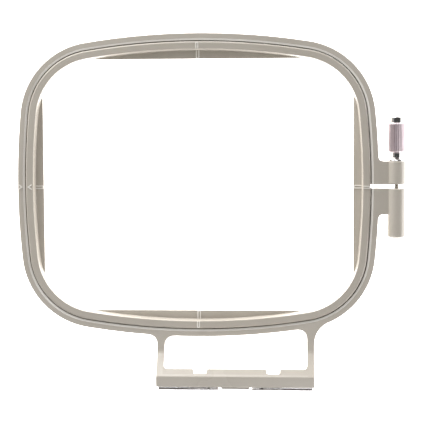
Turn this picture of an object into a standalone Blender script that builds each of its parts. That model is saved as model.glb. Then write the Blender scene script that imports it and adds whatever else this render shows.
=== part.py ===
"""Embroidery-machine hoop, lying flat with its stitching side up.

A split outer ring carries a clamp screw on its right side and a raised connector on its front
side. The inner ring presses into it from above and has a recessed web along each side.
Sizes are in millimetres and become metres where a mesh is made. Every object hangs under one
empty at the centre of the rings.
"""

import math

import bmesh
import bpy
from mathutils import Vector

MM = 0.001

# The groove between the rings: a rounded rectangle whose four sides bow outwards.
GROOVE_WIDTH = 305.4
GROOVE_DEPTH = 254.2
LONG_SIDE_RADIUS = 613.0
SHORT_SIDE_RADIUS = 647.0
CORNER_RADIUS = 61.6
GROOVE_GAP = 0.9

# Outer ring section.
OUTER_WALL = 6.45
OUTER_HEIGHT = 11.0
OUTER_CHAMFER_WIDTH = 2.2
OUTER_CHAMFER_DROP = 1.5
EDGE_ROUND = 0.8
SPLIT_GAP = 3.5
SPLIT_CENTRE_Y = -0.75

# Inner ring section.
INNER_HEIGHT = 12.0
INNER_FACE = 6.6
INNER_CHAMFER = 1.1
INNER_WALL_DRAFT = 1.2
INNER_WALL_DEPTH = 8.2

# Webs around the stitching window: how far each comes in from the middle of the groove.
WEB_REACH_SIDES = 15.2
WEB_REACH_ENDS = 15.6
WEB_BASE = 1.0
WEB_THICKNESS = 2.6
WEB_OVERLAP = 1.1
MARK_HEIGHT = 0.6
MARK_SHIFT = (0.8, -0.6)

# Clamp lugs: a flat plate and a barrel on each side of the split.
BARREL_RADIUS = 7.7
BARREL_STANDOFF = 15.35
UPPER_LUG_LENGTH = 20.3
LOWER_LUG_LENGTH = 43.5
LOWER_PLATE_LENGTH = 22.9
LUG_FILLET = 4.6
BARREL_CHAMFER = 0.8
BARREL_END_CHAMFER = 2.0

# Clamp screw, its knob, washer and threaded insert.
SCREW_RADIUS = 1.95
BORE_CLEARANCE = 0.35
FIT_GAP = 0.3
SCREW_REACH = 43.0
WASHER_RADIUS = 6.9
WASHER_THICKNESS = 1.3
WASHER_CUP = 1.0
NECK_RADIUS = 4.4
NECK_LENGTH = 4.4
SLEEVE_RADIUS = 7.3
SLEEVE_LENGTH = 25.6
SLEEVE_CORE_RADIUS = 3.2
KNURL_COUNT = 30
KNURL_DEPTH = 0.45
CAP_RADIUS = 5.8
CAP_LENGTH = 5.9
CAP_CHAMFER = 1.2
INSERT_WALL = 1.2
INSERT_LENGTH = 9.0
INSERT_RECESS = 0.5

# Connector: two arms rise from the ring to a bar that is higher than the rings.
BAR_LENGTH = 139.5
BAR_CENTRE_X = 33.5
BAR_FACE_DEPTH = 9.4
BAR_REACH = 42.5
BAR_TOP = 27.0
BAR_WALL_BOTTOM = 14.0
SHEET = 3.0
RAMP_RUN = 19.8
ARM_WIDTH = 6.5
ARM_FOOT_RUN = 6.5
WINDOW_STRIP = 6.4
WINDOW_CORNER = 3.2
NOTCH_WIDTH = 11.7
NOTCH_DEPTH = 3.6
NOTCH_OFFSETS = (-30.9, 33.6)
ARM_INNER_FILLET = 9.0
ARM_OUTER_FILLETS = (9.0, 16.0)

# Steel runners along the front of the bar, and the screws that hold them.
RUNNER_LENGTH = 53.6
RUNNER_SHEET = 1.4
RUNNER_STANDOFF = 1.6
RUNNER_TOP = 25.6
RUNNER_INSET = 1.6
LEDGE_TOP = 23.6
TAB_WIDTH = 25.2
TAB_TOP = 19.0
TAB_BOTTOM = 14.6
RUNNER_SCREW_RADIUS = 1.3
RUNNER_SCREW_HEAD = 2.4
RUNNER_SCREW_LENGTH = 2.6
RUNNER_SCREW_INSETS = (9.0, 44.6)

CORNER_STEPS = 16
SIDE_STEPS = 8
ROUND_STEPS = 32

# Sizes that follow from the ones above.
HALF_WIDTH = GROOVE_WIDTH / 2
HALF_DEPTH = GROOVE_DEPTH / 2
OUTER_INNER = GROOVE_GAP / 2
OUTER_OUTER = OUTER_INNER + OUTER_WALL
INNER_OUTER = -GROOVE_GAP / 2
INNER_TOP_EDGE = INNER_OUTER - INNER_FACE
INNER_BASE_EDGE = INNER_TOP_EDGE - INNER_WALL_DRAFT
WINDOW_WIDTH = GROOVE_WIDTH - 2 * WEB_REACH_SIDES
WINDOW_DEPTH = GROOVE_DEPTH - 2 * WEB_REACH_ENDS
SPLIT_TOP_Y = SPLIT_CENTRE_Y + SPLIT_GAP / 2
SPLIT_LOW_Y = SPLIT_CENTRE_Y - SPLIT_GAP / 2
BARREL_X = HALF_WIDTH + OUTER_OUTER + BARREL_STANDOFF
SCREW_Z = BARREL_RADIUS
BORE_RADIUS = SCREW_RADIUS + BORE_CLEARANCE
INSERT_RADIUS = BORE_RADIUS + INSERT_WALL
UPPER_LUG_END = SPLIT_TOP_Y + UPPER_LUG_LENGTH
LOWER_LUG_END = SPLIT_LOW_Y - LOWER_LUG_LENGTH
WEB_TOP = WEB_BASE + WEB_THICKNESS
BAR_LEFT = BAR_CENTRE_X - BAR_LENGTH / 2
BAR_RIGHT = BAR_CENTRE_X + BAR_LENGTH / 2
BAR_FRONT_Y = -HALF_DEPTH - OUTER_OUTER - BAR_REACH
BAR_BACK_Y = BAR_FRONT_Y + BAR_FACE_DEPTH
RAMP_FOOT_Y = BAR_BACK_Y + RAMP_RUN
RAMP_RISE = BAR_TOP - OUTER_HEIGHT
RUNNER_FRONT_Y = BAR_FRONT_Y - RUNNER_STANDOFF - RUNNER_SHEET
LEFT_ARM_X = (BAR_LEFT, BAR_LEFT + ARM_WIDTH)
RIGHT_ARM_X = (BAR_RIGHT - ARM_WIDTH, BAR_RIGHT)

# Bottom centre of the whole object's bounding box, seen from the centre of the rings.
BOX_CENTRE_X = (BARREL_X + BARREL_RADIUS - HALF_WIDTH - OUTER_OUTER) / 2
BOX_CENTRE_Y = (HALF_DEPTH + OUTER_OUTER + RUNNER_FRONT_Y) / 2


def clear_scene():
    """Remove what the startup scene holds."""
    for item in list(bpy.data.objects):
        bpy.data.objects.remove(item, do_unlink=True)


def make_material(name, colour, roughness, metallic):
    """Principled material with one colour, roughness and metallic value."""
    material = bpy.data.materials.new(name)
    material.use_nodes = True
    shader = material.node_tree.nodes["Principled BSDF"]
    shader.inputs["Base Color"].default_value = (*colour, 1.0)
    shader.inputs["Roughness"].default_value = roughness
    shader.inputs["Metallic"].default_value = metallic
    return material


def make_object(name, points, faces, parent, material=None, origin=(0.0, 0.0, 0.0)):
    """Closed mesh object from points in millimetres, relative to its origin."""
    mesh = bpy.data.meshes.new(name)
    mesh.from_pydata([Vector(point) * MM for point in points], [], faces)
    work = bmesh.new()
    work.from_mesh(mesh)
    bmesh.ops.recalc_face_normals(work, faces=work.faces)
    work.to_mesh(mesh)
    work.free()
    if material:
        mesh.materials.append(material)
    item = bpy.data.objects.new(name, mesh)
    bpy.context.scene.collection.objects.link(item)
    item.parent = parent
    item.location = Vector(origin) * MM
    return item


def shade_round(item, angle=35.0):
    """Smooth shading with sharp edges kept above an angle."""
    item.data.shade_smooth()
    item.data.set_sharp_from_angle(angle=math.radians(angle))


def corner_centre():
    """Centre of the corner arc that is tangent to a long-side and a short-side arc."""
    long_y = HALF_DEPTH - LONG_SIDE_RADIUS
    short_x = HALF_WIDTH - SHORT_SIDE_RADIUS
    from_long = LONG_SIDE_RADIUS - CORNER_RADIUS
    from_short = SHORT_SIDE_RADIUS - CORNER_RADIUS
    start, end = Vector((0.0, long_y)), Vector((short_x, 0.0))
    apart = (end - start).length
    along = (from_long**2 - from_short**2 + apart**2) / (2 * apart)
    across = math.sqrt(from_long**2 - along**2)
    unit = (end - start) / apart
    foot = start + unit * along
    both = [foot + Vector((-unit.y, unit.x)) * side for side in (across, -across)]
    return max(both, key=lambda point: point.x + point.y)


def ring_arcs():
    """The eight arcs of the groove, anticlockwise from the right side's lower end.

    Each is (centre, radius, start angle, end angle, steps).
    """
    corner = corner_centre()
    long_y = HALF_DEPTH - LONG_SIDE_RADIUS
    short_x = HALF_WIDTH - SHORT_SIDE_RADIUS
    low = math.atan2(corner.y, corner.x - short_x)
    high = math.atan2(corner.y - long_y, corner.x)
    half, full = math.pi, 2 * math.pi
    x, y = corner
    return [
        ((short_x, 0), SHORT_SIDE_RADIUS, -low, low, SIDE_STEPS),
        ((x, y), CORNER_RADIUS, low, high, CORNER_STEPS),
        ((0, long_y), LONG_SIDE_RADIUS, high, half - high, SIDE_STEPS),
        ((-x, y), CORNER_RADIUS, half - high, half - low, CORNER_STEPS),
        ((-short_x, 0), SHORT_SIDE_RADIUS, half - low, half + low, SIDE_STEPS),
        ((-x, -y), CORNER_RADIUS, half + low, half + high, CORNER_STEPS),
        ((0, -long_y), LONG_SIDE_RADIUS, half + high, full - high, SIDE_STEPS),
        ((x, -y), CORNER_RADIUS, full - high, full - low, CORNER_STEPS),
    ]


def arc_stations(arc, last=False):
    """Stations (centre, radius, angle) along an arc, without its end unless it is the last."""
    centre, radius, start, end, steps = arc
    count = steps + 1 if last else steps
    return [(centre, radius, start + (end - start) * i / steps) for i in range(count)]


def closed_stations():
    """Stations once round the groove."""
    return [station for arc in ring_arcs() for station in arc_stations(arc)]


def split_stations():
    """Stations round the groove from one face of the split to the other."""
    arcs = ring_arcs()
    centre, radius, low, high, steps = arcs[0]
    upper = math.asin(SPLIT_TOP_Y / radius)
    lower = math.asin(SPLIT_LOW_Y / radius)
    first = arc_stations((centre, radius, upper, high, steps // 2))
    middle = [station for arc in arcs[1:] for station in arc_stations(arc)]
    final = arc_stations((centre, radius, low, lower, steps // 2), last=True)
    return first + middle + final


def station_point(station, offset):
    """Point at an offset outwards from the groove."""
    (x, y), radius, angle = station
    reach = radius + offset
    return x + reach * math.cos(angle), y + reach * math.sin(angle)


def front_y(x, offset):
    """Y of the front side of the groove's offset curve at a given X."""
    corner = corner_centre()
    edge = math.cos(math.atan2(corner.y - HALF_DEPTH + LONG_SIDE_RADIUS, corner.x))
    if abs(x) <= (LONG_SIDE_RADIUS + offset) * edge:
        centre_y = LONG_SIDE_RADIUS - HALF_DEPTH
        return centre_y - math.sqrt((LONG_SIDE_RADIUS + offset) ** 2 - x**2)
    return -corner.y - math.sqrt((CORNER_RADIUS + offset) ** 2 - (abs(x) - corner.x) ** 2)


def sweep(name, stations, section, closed, parent, material):
    """Sweep a closed section of (offset, z) points round the groove."""
    count = len(section)
    points = [
        (*station_point(station, offset), z) for station in stations for offset, z in section
    ]
    spans = len(stations) if closed else len(stations) - 1
    faces = []
    for i in range(spans):
        here, there = i * count, (i + 1) % len(stations) * count
        for j in range(count):
            k = (j + 1) % count
            faces.append((here + j, here + k, there + k, there + j))
    if not closed:
        faces.append(tuple(range(count)))
        faces.append(tuple(range(len(points) - count, len(points))))
    return make_object(name, points, faces, parent, material)


def extrude(name, outline, low, high, parent, along="Z", material=None):
    """Prism of an outline, extruded along Z, or along X from an outline of (y, z) points."""
    if along == "Z":
        points = [(x, y, low) for x, y in outline] + [(x, y, high) for x, y in outline]
    else:
        points = [(low, y, z) for y, z in outline] + [(high, y, z) for y, z in outline]
    count = len(outline)
    faces = [(i, (i + 1) % count, count + (i + 1) % count, count + i) for i in range(count)]
    faces.append(tuple(range(count)))
    faces.append(tuple(range(count, 2 * count)))
    return make_object(name, points, faces, parent, material)


def turn(name, profile, parent, origin, material=None, steps=ROUND_STEPS, tube=False):
    """Turned solid about the Y axis from a profile of (radius, y) or (radius, y, ripple)."""
    points, rings = [], []
    for radius, y, *ripple in profile:
        size = 1 if radius == 0 else steps
        rings.append(range(len(points), len(points) + size))
        for i in range(size):
            reach = radius - (ripple[0] if ripple and i % 2 else 0.0)
            angle = 2 * math.pi * i / steps
            points.append((reach * math.cos(angle), y, reach * math.sin(angle)))
    pairs = list(zip(rings, rings[1:]))
    if tube:
        pairs.append((rings[-1], rings[0]))
    faces = []
    for one, two in pairs:
        for i in range(steps):
            k = (i + 1) % steps
            corners = (one[i % len(one)], one[k % len(one)], two[k % len(two)], two[i % len(two)])
            faces.append(tuple(dict.fromkeys(corners)))
    return make_object(name, points, faces, parent, material, origin)


def helper_collection(name, items):
    """Collection of hidden shapes that a Boolean adds or cuts."""
    group = bpy.data.collections.new(name)
    bpy.context.scene.collection.children.link(group)
    for item in items:
        bpy.context.scene.collection.objects.unlink(item)
        group.objects.link(item)
        item.hide_render = True
        item.display_type = "WIRE"
    return group


def combine(item, operation, group):
    """Boolean between an object and a collection of helpers."""
    modifier = item.modifiers.new(group.name, "BOOLEAN")
    modifier.operation = operation
    modifier.operand_type = "COLLECTION"
    modifier.collection = group
    modifier.solver = "EXACT"


def bezier(start, control, end, steps=6):
    """Points of a quadratic curve, ends included."""
    found = []
    for i in range(steps + 1):
        t = i / steps
        found.append(
            tuple(
                (1 - t) ** 2 * a + 2 * t * (1 - t) * b + t * t * c
                for a, b, c in zip(start, control, end)
            )
        )
    return found


def outer_section():
    """Outer ring section: chamfer beside the groove, rounded outer edges."""
    top, out = OUTER_HEIGHT, OUTER_OUTER
    return [
        (OUTER_INNER, EDGE_ROUND / 2),
        (OUTER_INNER + EDGE_ROUND / 2, 0.0),
        (out - EDGE_ROUND, 0.0),
        (out, EDGE_ROUND),
        (out, top - EDGE_ROUND),
        (out - EDGE_ROUND * 0.3, top - EDGE_ROUND * 0.3),
        (out - EDGE_ROUND, top),
        (OUTER_INNER + OUTER_CHAMFER_WIDTH, top),
        (OUTER_INNER, top - OUTER_CHAMFER_DROP),
    ]


def inner_section():
    """Inner ring section: chamfer beside the groove, drafted wall down to the webs."""
    top = INNER_HEIGHT
    return [
        (INNER_OUTER, EDGE_ROUND),
        (INNER_OUTER, top - INNER_CHAMFER),
        (INNER_OUTER - INNER_CHAMFER, top),
        (INNER_TOP_EDGE, top),
        (INNER_BASE_EDGE, top - INNER_WALL_DEPTH),
        (INNER_BASE_EDGE, EDGE_ROUND / 2),
        (INNER_BASE_EDGE + EDGE_ROUND / 2, 0.0),
        (INNER_OUTER - EDGE_ROUND, 0.0),
    ]


def ramp_z(y):
    """Height of the connector's upper surface on its ramp."""
    return OUTER_HEIGHT + (RAMP_FOOT_Y - y) / RAMP_RUN * RAMP_RISE


def arm_outline(x_range):
    """(y, z) outline of one arm: flat beside the ring, then a gusset up to the bar."""
    middle = sum(x_range) / 2
    start = front_y(middle, OUTER_OUTER) + OUTER_WALL * 0.4
    return [
        (start, OUTER_HEIGHT),
        (RAMP_FOOT_Y, OUTER_HEIGHT),
        (BAR_BACK_Y, BAR_TOP),
        (BAR_FRONT_Y + EDGE_ROUND, BAR_TOP),
        (BAR_FRONT_Y, BAR_TOP - EDGE_ROUND),
        (BAR_FRONT_Y, BAR_WALL_BOTTOM),
        (BAR_FRONT_Y + SHEET * 1.5, BAR_WALL_BOTTOM),
        (RAMP_FOOT_Y - ARM_FOOT_RUN, 0.0),
        (start, 0.0),
    ]


def bar_outline():
    """(y, z) outline of the bent sheet that makes the ramp's upper end, the bar and its wall."""
    along = Vector((-RAMP_RUN, RAMP_RISE)).normalized()
    normal = Vector((along.y, -along.x))
    start = BAR_BACK_Y + WINDOW_STRIP + 3.0
    top_start = Vector((start, ramp_z(start)))
    low_start = top_start - normal * SHEET
    inner_z = BAR_TOP - SHEET
    low_end = low_start + along * ((inner_z - low_start.y) / along.y)
    return [
        tuple(top_start),
        (BAR_BACK_Y, BAR_TOP),
        (BAR_FRONT_Y + EDGE_ROUND, BAR_TOP),
        (BAR_FRONT_Y, BAR_TOP - EDGE_ROUND),
        (BAR_FRONT_Y, BAR_WALL_BOTTOM),
        (BAR_FRONT_Y + SHEET, BAR_WALL_BOTTOM),
        (BAR_FRONT_Y + SHEET, inner_z),
        tuple(low_end),
        tuple(low_start),
    ]


def connector_window_outline():
    """(x, y) outline that cuts the connector's window, its rounded corners and its notches."""
    left, right = LEFT_ARM_X[1], RIGHT_ARM_X[0]
    low = BAR_BACK_Y + WINDOW_STRIP
    high = low + 6.0
    outline = [(left, high)]
    outline += bezier((left, low + WINDOW_CORNER), (left, low), (left + WINDOW_CORNER, low))
    for offset in NOTCH_OFFSETS:
        x = BAR_CENTRE_X + offset
        outline.append((x - NOTCH_WIDTH / 2, low))
        outline.append((x - NOTCH_WIDTH / 2, low - NOTCH_DEPTH))
        outline.append((x + NOTCH_WIDTH / 2, low - NOTCH_DEPTH))
        outline.append((x + NOTCH_WIDTH / 2, low))
    outline += bezier((right - WINDOW_CORNER, low), (right, low), (right, low + WINDOW_CORNER))
    outline.append((right, high))
    return outline


def arm_fillet_outline(x, side, size):
    """(x, y) outline of the fillet between an arm's side and the ring's front."""
    far = x + side * size
    corner_y = front_y(x, OUTER_OUTER)
    far_y = front_y(far, OUTER_OUTER)
    curve = bezier((x, corner_y - size), (x, corner_y), (far, far_y))
    inside = OUTER_WALL * 0.45
    return [(x - side * ARM_WIDTH / 2, corner_y - size)] + curve + [
        (far, far_y + inside),
        (x - side * ARM_WIDTH / 2, front_y(x - side * ARM_WIDTH / 2, OUTER_OUTER) + inside),
    ]


def upper_plate_outline():
    """(x, y) outline of the plate between the ring and the upper barrel."""
    ring = HALF_WIDTH + OUTER_OUTER
    inside = ring - OUTER_WALL * 0.5
    end = UPPER_LUG_END
    curve = bezier(
        (ring + LUG_FILLET, end), (ring - 0.4, end), (ring - 0.4, end + LUG_FILLET)
    )
    return [(inside, SPLIT_TOP_Y), (BARREL_X, SPLIT_TOP_Y), (BARREL_X, end)] + curve + [
        (inside, end + LUG_FILLET)
    ]


def lower_plate_outline():
    """(x, y) outline of the plate between the ring and the lower barrel."""
    ring = HALF_WIDTH + OUTER_OUTER
    inside = ring - OUTER_WALL * 0.5
    end = SPLIT_LOW_Y - LOWER_PLATE_LENGTH
    curve = bezier(
        (ring + LUG_FILLET * 0.7, end), (ring - 0.3, end), (ring - 1.2, end - LUG_FILLET * 1.4)
    )
    return [(inside, SPLIT_LOW_Y), (BARREL_X, SPLIT_LOW_Y), (BARREL_X, end)] + curve + [
        (inside - 1.2, end - LUG_FILLET * 1.4)
    ]


def barrel(name, near, far, far_chamfer, parent):
    """Barrel along Y between two faces, chamfered at both ends."""
    way = 1 if far > near else -1
    profile = [
        (0, near),
        (BARREL_RADIUS - BARREL_CHAMFER, near),
        (BARREL_RADIUS, near + way * BARREL_CHAMFER),
        (BARREL_RADIUS, far - way * far_chamfer * 0.7),
        (BARREL_RADIUS - far_chamfer, far),
        (0, far),
    ]
    return turn(name, profile, parent, (BARREL_X, 0, SCREW_Z))


def tab_box(name, x_range, y_range, z_range, parent):
    """Box from three ranges."""
    outline = [(x, y) for x, y in zip((x_range[0], x_range[1], x_range[1], x_range[0]),
                                      (y_range[0], y_range[0], y_range[1], y_range[1]))]
    return extrude(name, outline, z_range[0], z_range[1], parent)


def screw_positions():
    """X of the four screws that hold the runners."""
    left = BAR_LEFT + RUNNER_INSET
    right = BAR_RIGHT - RUNNER_INSET
    return [left + inset for inset in RUNNER_SCREW_INSETS] + [
        right - inset for inset in reversed(RUNNER_SCREW_INSETS)
    ]


def runner_screw_z():
    """Height of the runner screws, in the middle of the bar's front wall."""
    return (BAR_WALL_BOTTOM + RUNNER_TOP) / 2 - 1.5


def build_outer_frame(parent, material):
    """Split ring, lugs and connector as one moulding."""
    frame = sweep("outer_frame", split_stations(), outer_section(), False, parent, material)
    added = [
        extrude("upper_plate", upper_plate_outline(), 0.02, OUTER_HEIGHT, parent),
        extrude("lower_plate", lower_plate_outline(), 0.02, OUTER_HEIGHT, parent),
        barrel("upper_barrel", SPLIT_TOP_Y, UPPER_LUG_END, BARREL_CHAMFER, parent),
        barrel("lower_barrel", SPLIT_LOW_Y, LOWER_LUG_END, BARREL_END_CHAMFER, parent),
        extrude("left_arm", arm_outline(LEFT_ARM_X), *LEFT_ARM_X, parent, along="X"),
        extrude("right_arm", arm_outline(RIGHT_ARM_X), *RIGHT_ARM_X, parent, along="X"),
        extrude("bar", bar_outline(), LEFT_ARM_X[0] + 1, RIGHT_ARM_X[1] - 1, parent, along="X"),
    ]
    tab_half = TAB_WIDTH / 2
    added.append(
        tab_box(
            "tab",
            (BAR_CENTRE_X - tab_half, BAR_CENTRE_X + tab_half),
            (RUNNER_FRONT_Y, BAR_FRONT_Y + SHEET / 2),
            (TAB_BOTTOM, TAB_TOP),
            parent,
        )
    )
    fillets = (
        (LEFT_ARM_X[0], -1, ARM_OUTER_FILLETS[0]),
        (LEFT_ARM_X[1], 1, ARM_INNER_FILLET),
        (RIGHT_ARM_X[0], -1, ARM_INNER_FILLET),
        (RIGHT_ARM_X[1], 1, ARM_OUTER_FILLETS[1]),
    )
    for number, (x, side, size) in enumerate(fillets):
        outline = arm_fillet_outline(x, side, size)
        added.append(extrude(f"arm_fillet_{number}", outline, 0.04, OUTER_HEIGHT - 0.02, parent))
    arrow_x = -HALF_WIDTH - OUTER_INNER - OUTER_CHAMFER_WIDTH + 0.4
    arrow = [(arrow_x, 0), (arrow_x - 3.4, 2.2), (arrow_x - 3.4, -2.2)]
    arrow = [(x, y + SPLIT_CENTRE_Y) for x, y in arrow]
    added.append(extrude("outer_arrow", arrow, OUTER_HEIGHT - 1, OUTER_HEIGHT + MARK_HEIGHT, parent))
    combine(frame, "UNION", helper_collection("frame_additions", added))
    combine(frame, "DIFFERENCE", helper_collection("frame_cuts", frame_cutters(parent)))
    shade_round(frame)


def frame_cutters(parent):
    """Connector window, clamp bore, insert seat and runner screw holes."""
    middle = (BARREL_X, 0, SCREW_Z)
    window = connector_window_outline()
    seat = LOWER_LUG_END + INSERT_RECESS + INSERT_LENGTH + FIT_GAP
    seat_radius = INSERT_RADIUS + FIT_GAP
    bore = [(0, LOWER_LUG_END - 5), (BORE_RADIUS, LOWER_LUG_END - 5)]
    bore += [(BORE_RADIUS, UPPER_LUG_END + 5), (0, UPPER_LUG_END + 5)]
    pocket = [(0, LOWER_LUG_END - 3), (seat_radius, LOWER_LUG_END - 3)]
    pocket += [(seat_radius, seat), (0, seat)]
    cutters = [
        extrude("connector_window", window, 5.0, BAR_TOP + 5, parent),
        turn("clamp_bore", bore, parent, middle, steps=16),
        turn("insert_seat", pocket, parent, middle, steps=20),
    ]
    hole = RUNNER_SCREW_RADIUS + FIT_GAP
    for number, x in enumerate(screw_positions()):
        low, high = BAR_FRONT_Y - 2, BAR_FRONT_Y + SHEET + 2
        profile = [(0, low), (hole, low), (hole, high), (0, high)]
        cutters.append(
            turn(f"screw_hole_{number}", profile, parent, (x, 0, runner_screw_z()), steps=12)
        )
    return cutters


def web_outline(side, limit):
    """(x, y) outline of a web between its straight inner edge and the ring's wall."""
    axis = 0 if side[0] else 1
    sign = side[axis]
    offset = INNER_BASE_EDGE + WEB_OVERLAP
    curve = [station_point(station, offset) for station in closed_stations()]
    curve = [point for point in curve if point[axis] * sign > limit + 0.1]
    curve.sort(key=lambda point: point[1 - axis])
    ends = []
    for near, far in ((curve[0], curve[1]), (curve[-1], curve[-2])):
        slope = (near[1 - axis] - far[1 - axis]) / (near[axis] - far[axis])
        across = near[1 - axis] + slope * (limit * sign - near[axis])
        ends.append((limit * sign, across) if axis == 0 else (across, limit * sign))
    return [ends[0]] + curve + [ends[1]]


def slotted_mark(name, centre, way, length, parent):
    """Raised centre mark on a web: a U-shaped rib that is closed at the window side."""
    half, slot, stop = 2.0, 0.75, 1.0
    local = [(0, -half), (length, -half), (length, -slot), (stop, -slot)]
    local += [(stop, slot), (length, slot), (length, half), (0, half)]
    x, y = way
    outline = [(centre[0] + u * x - v * y, centre[1] + u * y + v * x) for u, v in local]
    return extrude(name, outline, WEB_TOP - 0.8, WEB_TOP + MARK_HEIGHT, parent)


def face_mark(name, centre, way, parent):
    """Raised centre mark on the inner ring's top face."""
    half = 1.0
    local = [(0, -half), (INNER_FACE - 1.2, -half), (INNER_FACE - 0.6, -half * 0.5)]
    local += [(INNER_FACE - 0.6, half * 0.5), (INNER_FACE - 1.2, half), (0, half)]
    x, y = way
    outline = [(centre[0] + u * x - v * y, centre[1] + u * y + v * x) for u, v in local]
    return extrude(name, outline, INNER_HEIGHT - 1, INNER_HEIGHT + MARK_HEIGHT, parent)


def inner_additions(parent):
    """Webs, centre marks and the arrow of the inner ring."""
    half_x, half_y = WINDOW_WIDTH / 2, WINDOW_DEPTH / 2
    sides = {"right": (1, 0), "top": (0, 1), "left": (-1, 0), "bottom": (0, -1)}
    added = []
    for name, way in sides.items():
        limit = half_x if way[0] else half_y
        reach = HALF_WIDTH if way[0] else HALF_DEPTH
        web = extrude(f"web_{name}", web_outline(way, limit), WEB_BASE, WEB_TOP, parent)
        shift = (abs(way[1]) * MARK_SHIFT[0], abs(way[0]) * (SPLIT_CENTRE_Y + MARK_SHIFT[1]))
        start = (way[0] * (limit + 0.3) + shift[0], way[1] * (limit + 0.3) + shift[1])
        length = reach + INNER_BASE_EDGE - limit + 0.6
        added += [web, slotted_mark(f"web_mark_{name}", start, way, length, parent)]
        if name != "left":
            near = reach + INNER_TOP_EDGE + 0.2
            centre = (way[0] * near + shift[0], way[1] * near + shift[1])
            added.append(face_mark(f"face_mark_{name}", centre, way, parent))
    tip = -HALF_WIDTH + GROOVE_GAP / 2 + INNER_CHAMFER + 0.4
    arrow = [(tip, 0), (tip + 4.0, 2.7), (tip + 4.0, 1.6), (tip + 1.7, 0)]
    arrow += [(tip + 4.0, -1.6), (tip + 4.0, -2.7)]
    arrow = [(x, y + SPLIT_CENTRE_Y) for x, y in arrow]
    added.append(extrude("inner_arrow", arrow, INNER_HEIGHT - 1, INNER_HEIGHT + MARK_HEIGHT, parent))
    return added


def build_inner_ring(parent, material):
    """Inner ring with its four webs and raised marks."""
    ring = sweep("inner_ring", closed_stations(), inner_section(), True, parent, material)
    combine(ring, "UNION", helper_collection("ring_additions", inner_additions(parent)))
    shade_round(ring)


def build_clamp(parent, steel, plated, brass):
    """Screw, knurled sleeve, cup washer and threaded insert on the barrels' axis."""
    washer_low = UPPER_LUG_END + FIT_GAP
    washer_high = washer_low + WASHER_CUP + WASHER_THICKNESS
    neck_low = washer_high + FIT_GAP
    neck_high = neck_low + NECK_LENGTH
    sleeve_low = neck_high + FIT_GAP
    sleeve_high = sleeve_low + SLEEVE_LENGTH
    cap_low = sleeve_high + FIT_GAP
    cap_high = cap_low + CAP_LENGTH
    tip = SPLIT_LOW_Y - SCREW_REACH
    origin = (BARREL_X, neck_low, SCREW_Z)
    profile = [
        (0, tip),
        (SCREW_RADIUS - 0.5, tip),
        (SCREW_RADIUS, tip + 0.6),
        (SCREW_RADIUS, neck_low),
        (NECK_RADIUS, neck_low),
        (NECK_RADIUS, neck_high),
        (SLEEVE_CORE_RADIUS, neck_high),
        (SLEEVE_CORE_RADIUS, cap_low),
        (CAP_RADIUS - 0.6, cap_low),
        (CAP_RADIUS, cap_low + 0.6),
        (CAP_RADIUS, cap_high - CAP_CHAMFER),
        (CAP_RADIUS - CAP_CHAMFER, cap_high),
        (0, cap_high),
    ]
    profile = [(radius, y - neck_low) for radius, y in profile]
    shade_round(turn("clamp_screw", profile, parent, origin, steel))
    inner, outer = SLEEVE_CORE_RADIUS + FIT_GAP, SLEEVE_RADIUS
    profile = [
        (inner, sleeve_low),
        (outer - 1.0, sleeve_low),
        (outer, sleeve_low + 1.0, KNURL_DEPTH),
        (outer, sleeve_high - 0.8, KNURL_DEPTH),
        (outer - 0.8, sleeve_high),
        (inner, sleeve_high),
    ]
    profile = [(item[0], item[1] - neck_low, *item[2:]) for item in profile]
    turn("knob_sleeve", profile, parent, origin, plated, steps=2 * KNURL_COUNT, tube=True)
    inner = BORE_RADIUS
    profile = [
        (inner, washer_high - WASHER_THICKNESS),
        (WASHER_RADIUS - 0.4, washer_low),
        (WASHER_RADIUS, washer_low + 0.5),
        (NECK_RADIUS, washer_high),
        (inner, washer_high),
    ]
    shade_round(turn("cup_washer", profile, parent, (BARREL_X, 0, SCREW_Z), steel, tube=True))
    low = LOWER_LUG_END + INSERT_RECESS
    profile = [
        (BORE_RADIUS, low),
        (INSERT_RADIUS, low),
        (INSERT_RADIUS, low + INSERT_LENGTH),
        (BORE_RADIUS, low + INSERT_LENGTH),
    ]
    turn("thread_insert", profile, parent, (BARREL_X, 0, SCREW_Z), brass, steps=20, tube=True)


def runner_outline():
    """(y, z) outline of a runner: a face standing off the bar and a foot that touches its wall."""
    back = BAR_FRONT_Y - FIT_GAP
    front = RUNNER_FRONT_Y
    return [
        (front, BAR_WALL_BOTTOM),
        (back, BAR_WALL_BOTTOM),
        (back, BAR_WALL_BOTTOM + RUNNER_SHEET),
        (front + RUNNER_SHEET, BAR_WALL_BOTTOM + RUNNER_SHEET),
        (front + RUNNER_SHEET, RUNNER_TOP),
        (front + RUNNER_SHEET * 0.5, RUNNER_TOP),
        (front, RUNNER_TOP - RUNNER_SHEET * 0.5),
    ]


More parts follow.
